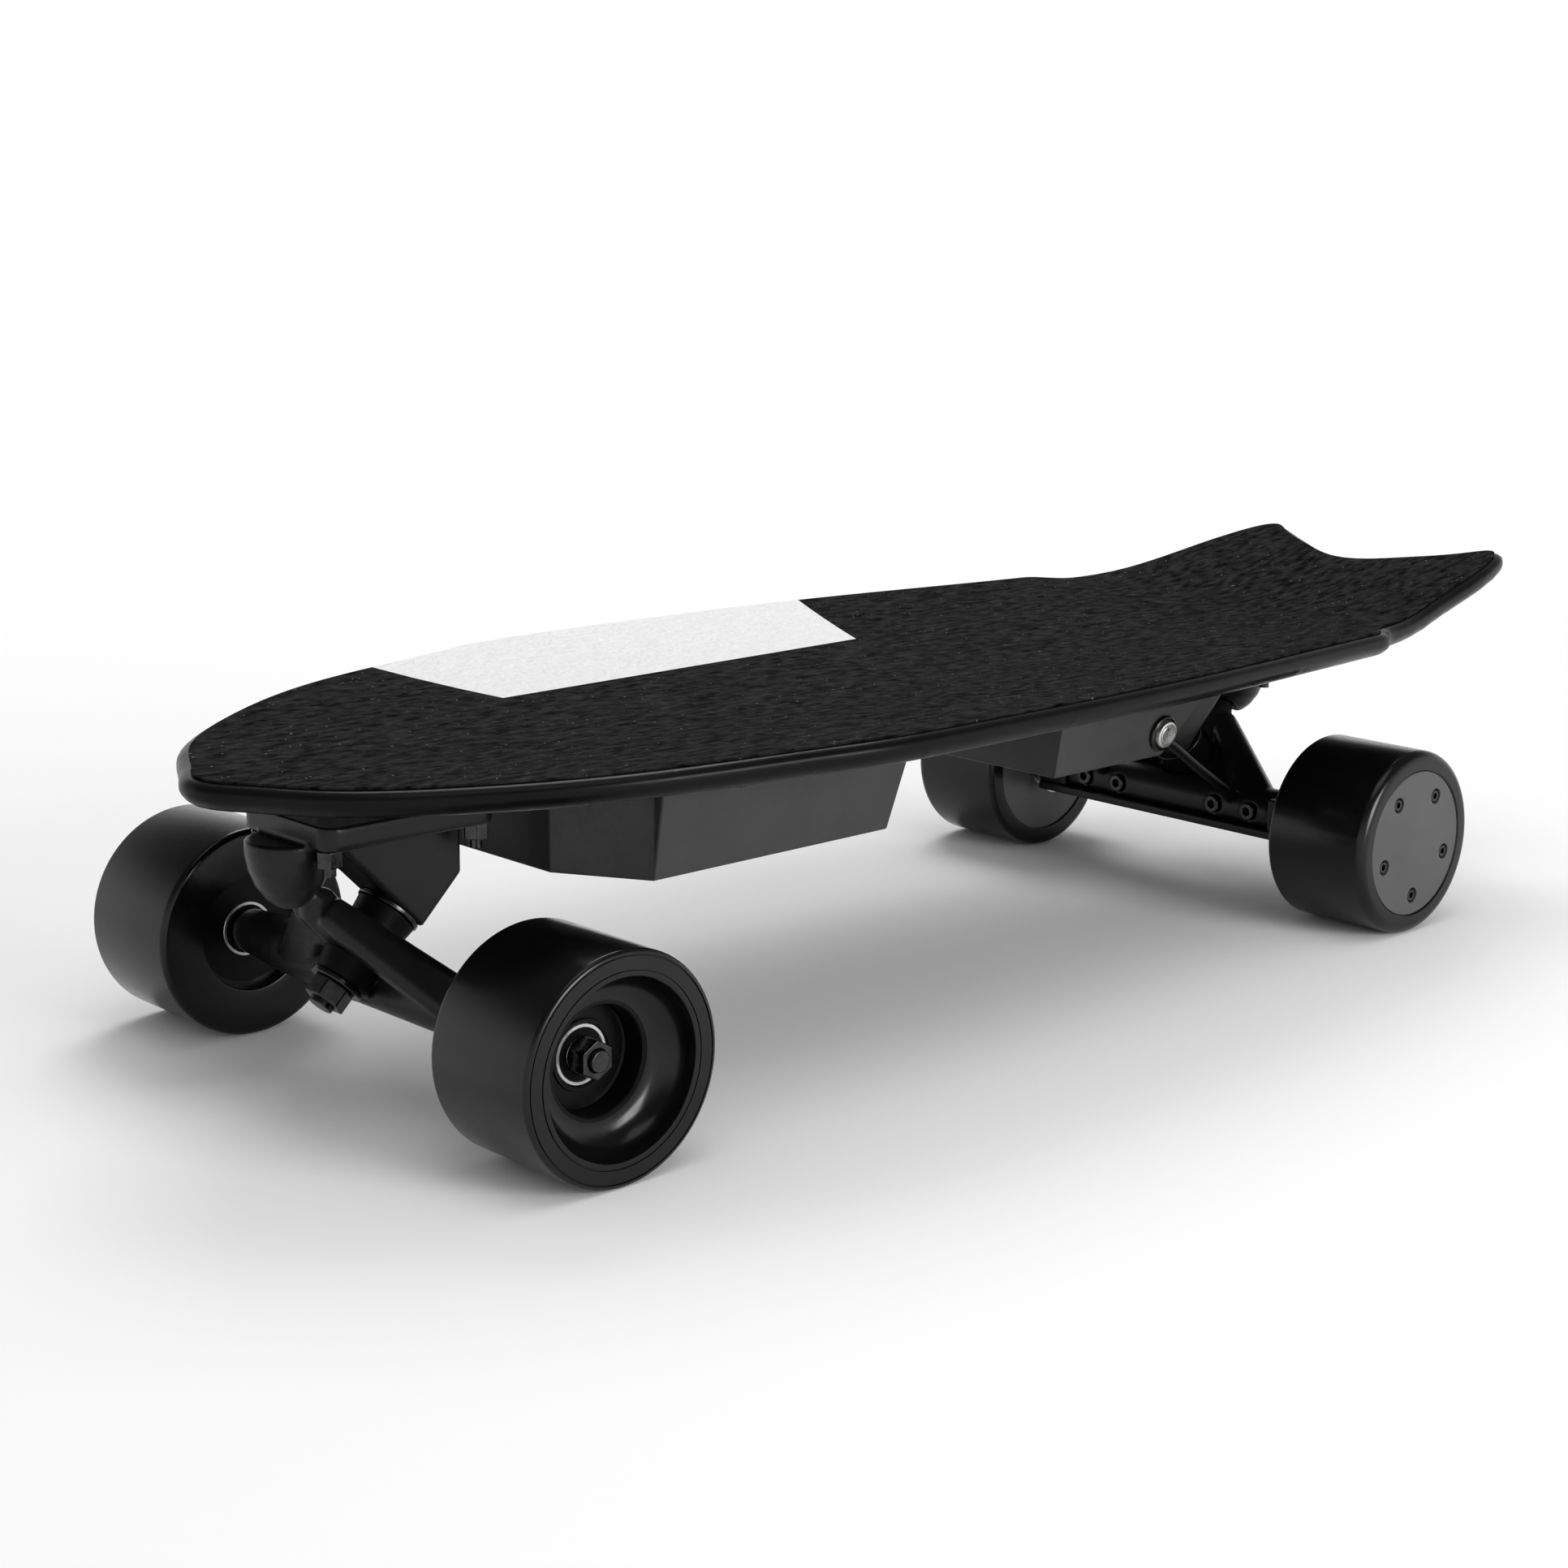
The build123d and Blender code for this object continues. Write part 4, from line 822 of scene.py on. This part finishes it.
def build_deck():
    """The deck: its outline extruded, the rails rounded, then bent to the concave and the kick."""
    outline = deck_outline()
    clear_selection()
    bpy.ops.mesh.primitive_circle_add(
        vertices=len(outline),
        radius=0.3,
        fill_type="NGON",
        location=(0, 0, 0),
    )
    deck = bpy.context.object
    for vertex, place in zip(deck.data.vertices, outline):
        vertex.co = (place.x * MM, place.y * MM, 0)
    edit_all(deck)
    bpy.ops.mesh.extrude_region_move(TRANSFORM_OT_translate={"value": (0, 0, deck_thickness * MM)})
    bpy.ops.mesh.select_all(action="SELECT")
    bpy.ops.mesh.normals_make_consistent(inside=False)
    bpy.ops.object.mode_set(mode="OBJECT")
    rails = deck.modifiers.new("rails", "BEVEL")
    rails.width = rail_rounding * MM
    rails.segments = 6
    rails.limit_method = "ANGLE"
    rails.angle_limit = math.radians(60)
    rails.use_clamp_overlap = False
    apply_all(deck)
    # the flat sheet is cut across and along, most closely where it bends up to the kick
    edit_all(deck)
    across = [12 * step for step in range(-10, 11)]
    along = [-345 + 15 * step for step in range(9)]
    along += [-222, kick_start_x, -190, -120, -40, 40, 120, 200, 260, 310]
    for places, direction in ((across, (0, 1, 0)), (along, (1, 0, 0))):
        for place in places:
            bpy.ops.mesh.select_all(action="SELECT")
            bpy.ops.mesh.bisect(plane_co=Vector(direction) * place * MM, plane_no=direction)
    bpy.ops.mesh.select_all(action="SELECT")
    bpy.ops.mesh.quads_convert_to_tris()
    bpy.ops.object.mode_set(mode="OBJECT")
    rim = kdtree.KDTree(len(outline))
    for index, place in enumerate(outline):
        rim.insert((place.x, place.y, 0), index)
    rim.balance()
    for vertex in deck.data.vertices:
        x, y, level = vertex.co / MM
        inset = min(rim.find((x, y, 0))[2], rail_lift_reach)
        lift = rail_lift * (1 - inset / rail_lift_reach) ** 2
        vertex.co.z = on_board(x, y, level + lift * (1 - level / deck_thickness)) * MM
    make_active(deck)
    bpy.ops.object.shade_smooth_by_angle(angle=long_curve_crease_angle)
    stand_for(settle(deck, "deck_body"), "deck")


def build_board():
    """Deck, cases with the button's bezel and the charge port, and the cases' screws."""
    build_deck()
    for part, rounding in (
        ("battery_case", 0.9),
        ("controller_case", 0.9),
        ("button_bezel", 0.35),
        ("charge_port", 0.3),
    ):
        stand_for(moulded_copy(part, f"{part}_shell", rounding), part)
    head = socket_screw(*case_screw)
    corners = [vertex.co for vertex in frame["nodes"]["case_screws"].data.vertices]
    flange_low = min(corner.z for corner in corners if corner.x > 0) / MM
    post_low = min(corner.z for corner in corners if corner.x < 0) / MM
    places = [(x, y, flange_low) for x, y in flange_screw_places]
    places += [(x, y, post_low) for x, y in post_screw_places]
    stand_for(screws_at("case_screw_heads", head, places, (0, 0, -1)), "case_screws")
    bpy.data.objects.remove(head)


def build_button():
    """The power button: a rounded rim, a ring groove and a slightly dished middle."""
    outwards = (0, math.cos(case_draft), -math.sin(case_draft))
    wall_y = controller_half_width + (button_z - controller_bottom_z) * math.tan(case_draft)
    wall = (button_x, wall_y, button_z)
    face = button_face
    profile = [
        (button_radius, button_back),
        (button_radius, face - 0.7),
        (5.75, face - 0.2),
        (5.3, face),
        (4.55, face),
        (4.35, face - 0.25),
        (4.25, face - 0.7),
        (3.95, face - 0.7),
        (3.85, face - 0.25),
        (3.6, face - 0.05),
        (1.2, face - 0.25),
        (0.4, face - 0.28),
    ]
    button = lathe("power_button_cap", profile, wall, outwards, solid=True, count=64)
    stand_for(button, "power_button")


# ---------------------------------------------------------------- cables
def build_cables():
    """Motor cables with their strain reliefs, and the link between the cases."""
    for side_name, side in (("left", 1), ("right", -1)):
        points = [(x, side * y, z) for x, y, z in cable_route]
        piece = cable(f"{side_name}_motor_cable_jacket", points, motor_cable_radius)
        dress(piece, "cable_black")
        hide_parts(f"{side_name}_motor_cable")
        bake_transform(piece)
        relief = strain_relief(
            f"{side_name}_motor_cable_relief",
            (motor_relief_x, *points[0][1:]),
            (-1, 0, 0),
            root_radius=3.4,
            tip_radius=2.2,
            length=4.5,
        )
        dress(relief, "cable_black", "board")
    link = cable("link_cable_jacket", link_route, link_cable_radius)
    stand_for(link, "link_cable")
    for name, x, way in (("front", front_link_relief_x, -1), ("back", back_link_relief_x, 1)):
        relief = strain_relief(
            f"link_cable_{name}_relief",
            (x, *link_route[0][1:]),
            (way, 0, 0),
            root_radius=4.8,
            tip_radius=3.1,
            length=9.0,
        )
        dress(relief, "cable_black", "board")


def strain_relief(name, place, direction, root_radius, tip_radius, length):
    """A short ribbed sleeve round a cable where it leaves a case."""
    ribs = 4
    rib_height = 0.4
    inner = tip_radius - 0.25
    last_radius = tip_radius + 0.5
    profile = [(inner, 0), (root_radius, 0)]
    for rib in range(ribs):
        start = length * rib / ribs
        radius = root_radius + (last_radius - root_radius) * (rib + 0.5) / ribs
        profile += [
            (radius, start + 0.05 * length / ribs),
            (radius, start + 0.6 * length / ribs),
            (radius - rib_height, start + 0.7 * length / ribs),
            (radius - rib_height, start + 0.95 * length / ribs),
        ]
    profile.append((inner, length))
    return lathe(name, profile, place, direction, count=40)


build_wheels()
build_trucks()
build_board()
build_button()
build_cables()


# ---------------------------------------------------------------- light, floor and camera
shadow_radius = 0.42         # the floor is plain inside this and white outside the next, m
white_radius = 1.25
world_light = 0.56           # strength on rays that only light things
overhead_seen = 0.12         # strength that gloss sees straight up; it sees 1 at the horizon
horizon_height = 0.12        # heights of a ray's direction between which that changes
overhead_height = 0.6
lamp_target = (0, 0, 0.08)
lamps = (                    # name, place and size in m, power in W
    ("back_lamp", (-0.9, -1.3, 1.9), 1.1, 20),
    ("top_lamp", (0.3, 0.5, 2.2), 1.4, 8),
    ("side_lamp", (-0.2, 2.1, 0.6), 0.9, 30),
)
camera_place = (0.82934, 0.80321, 0.33945)
camera_azimuth = math.radians(136.608)
camera_elevation = math.radians(12.975)
camera_roll = math.radians(0.533)
camera_lens = 63.02


def seen_directly(nodes, links):
    """1 on rays from the camera, a mirror or glass, and 0 on rays that only light things."""
    ray = nodes.new("ShaderNodeLightPath")
    total = ray.outputs["Is Camera Ray"]
    for name in ("Is Glossy Ray", "Is Transmission Ray"):
        either = nodes.new("ShaderNodeMath")
        either.operation = "MAXIMUM"
        links.new(total, either.inputs[0])
        links.new(ray.outputs[name], either.inputs[1])
        total = either.outputs[0]
    return total


def build_floor():
    """Pale floor that keeps the shadows near the board and fades to white away from it."""
    clear_selection()
    bpy.ops.mesh.primitive_plane_add(size=12, location=(0, 0, 0))
    floor = bpy.context.object
    floor.name = "floor"
    ground = Finish("floor_pale", (0.93, 0.93, 0.93), 0.95, specular=0.1)
    distance = ground.nodes.new("ShaderNodeVectorMath")
    distance.operation = "LENGTH"
    ground.links.new(ground.place.outputs["Object"], distance.inputs[0])
    fade = ground.nodes.new("ShaderNodeMapRange")
    fade.interpolation_type = "SMOOTHSTEP"
    fade.inputs["From Min"].default_value = shadow_radius
    fade.inputs["From Max"].default_value = white_radius
    ground.links.new(distance.outputs["Value"], fade.inputs["Value"])
    share = ground.nodes.new("ShaderNodeMath")
    share.operation = "MULTIPLY"
    ground.links.new(fade.outputs["Result"], share.inputs[0])
    ground.links.new(seen_directly(ground.nodes, ground.links), share.inputs[1])
    white = ground.nodes.new("ShaderNodeEmission")
    blend = ground.nodes.new("ShaderNodeMixShader")
    ground.links.new(share.outputs[0], blend.inputs["Fac"])
    ground.links.new(ground.shader.outputs["BSDF"], blend.inputs[1])
    ground.links.new(white.outputs["Emission"], blend.inputs[2])
    ground.links.new(blend.outputs["Shader"], ground.nodes["Material Output"].inputs["Surface"])
    floor.data.materials.append(ground.material)


def build_lights():
    """Even world light, a wide lamp high behind the board, a softer one above and one low at its side."""
    world = bpy.data.worlds.new("studio")
    bpy.context.scene.world = world
    world.use_nodes = True
    nodes = world.node_tree.nodes
    links = world.node_tree.links
    sky = nodes["Background"]
    sky.inputs["Color"].default_value = (1, 1, 1, 1)
    direction = nodes.new("ShaderNodeTexCoord")
    split = nodes.new("ShaderNodeSeparateXYZ")
    links.new(direction.outputs["Generated"], split.inputs["Vector"])
    shade = nodes.new("ShaderNodeMapRange")
    shade.interpolation_type = "SMOOTHSTEP"
    shade.inputs["From Min"].default_value = horizon_height
    shade.inputs["From Max"].default_value = overhead_height
    shade.inputs["To Min"].default_value = 1.0
    shade.inputs["To Max"].default_value = overhead_seen
    links.new(split.outputs["Z"], shade.inputs["Value"])
    level = nodes.new("ShaderNodeMapRange")
    level.inputs["To Min"].default_value = world_light
    links.new(shade.outputs["Result"], level.inputs["To Max"])
    links.new(seen_directly(nodes, links), level.inputs["Value"])
    links.new(level.outputs["Result"], sky.inputs["Strength"])
    for name, place, size, power in lamps:
        bpy.ops.object.light_add(type="AREA", location=place)
        lamp = bpy.context.object
        lamp.name = name
        lamp.data.size = size
        lamp.data.energy = power
        aim = Vector(lamp_target) - Vector(place)
        lamp.rotation_euler = aim.to_track_quat("-Z", "Y").to_euler()


def build_camera():
    """Camera for a low three-quarter view of the nose and the board's left side."""
    bpy.ops.object.camera_add(location=camera_place)
    camera = bpy.context.object
    camera.name = "camera"
    back = Vector(
        (
            math.sin(camera_azimuth) * math.cos(camera_elevation),
            -math.cos(camera_azimuth) * math.cos(camera_elevation),
            math.sin(camera_elevation),
        )
    )
    level = Vector((0, 0, 1)).cross(back).normalized()
    up = back.cross(level)
    right = math.cos(camera_roll) * level + math.sin(camera_roll) * up
    top = math.cos(camera_roll) * up - math.sin(camera_roll) * level
    camera.rotation_euler = Matrix((right, top, back)).transposed().to_euler()
    camera.data.lens = camera_lens
    camera.data.sensor_width = 36
    camera.data.clip_start = 0.02
    bpy.context.scene.camera = camera


build_floor()
build_lights()
build_camera()
bpy.context.scene.view_settings.view_transform = "Standard"
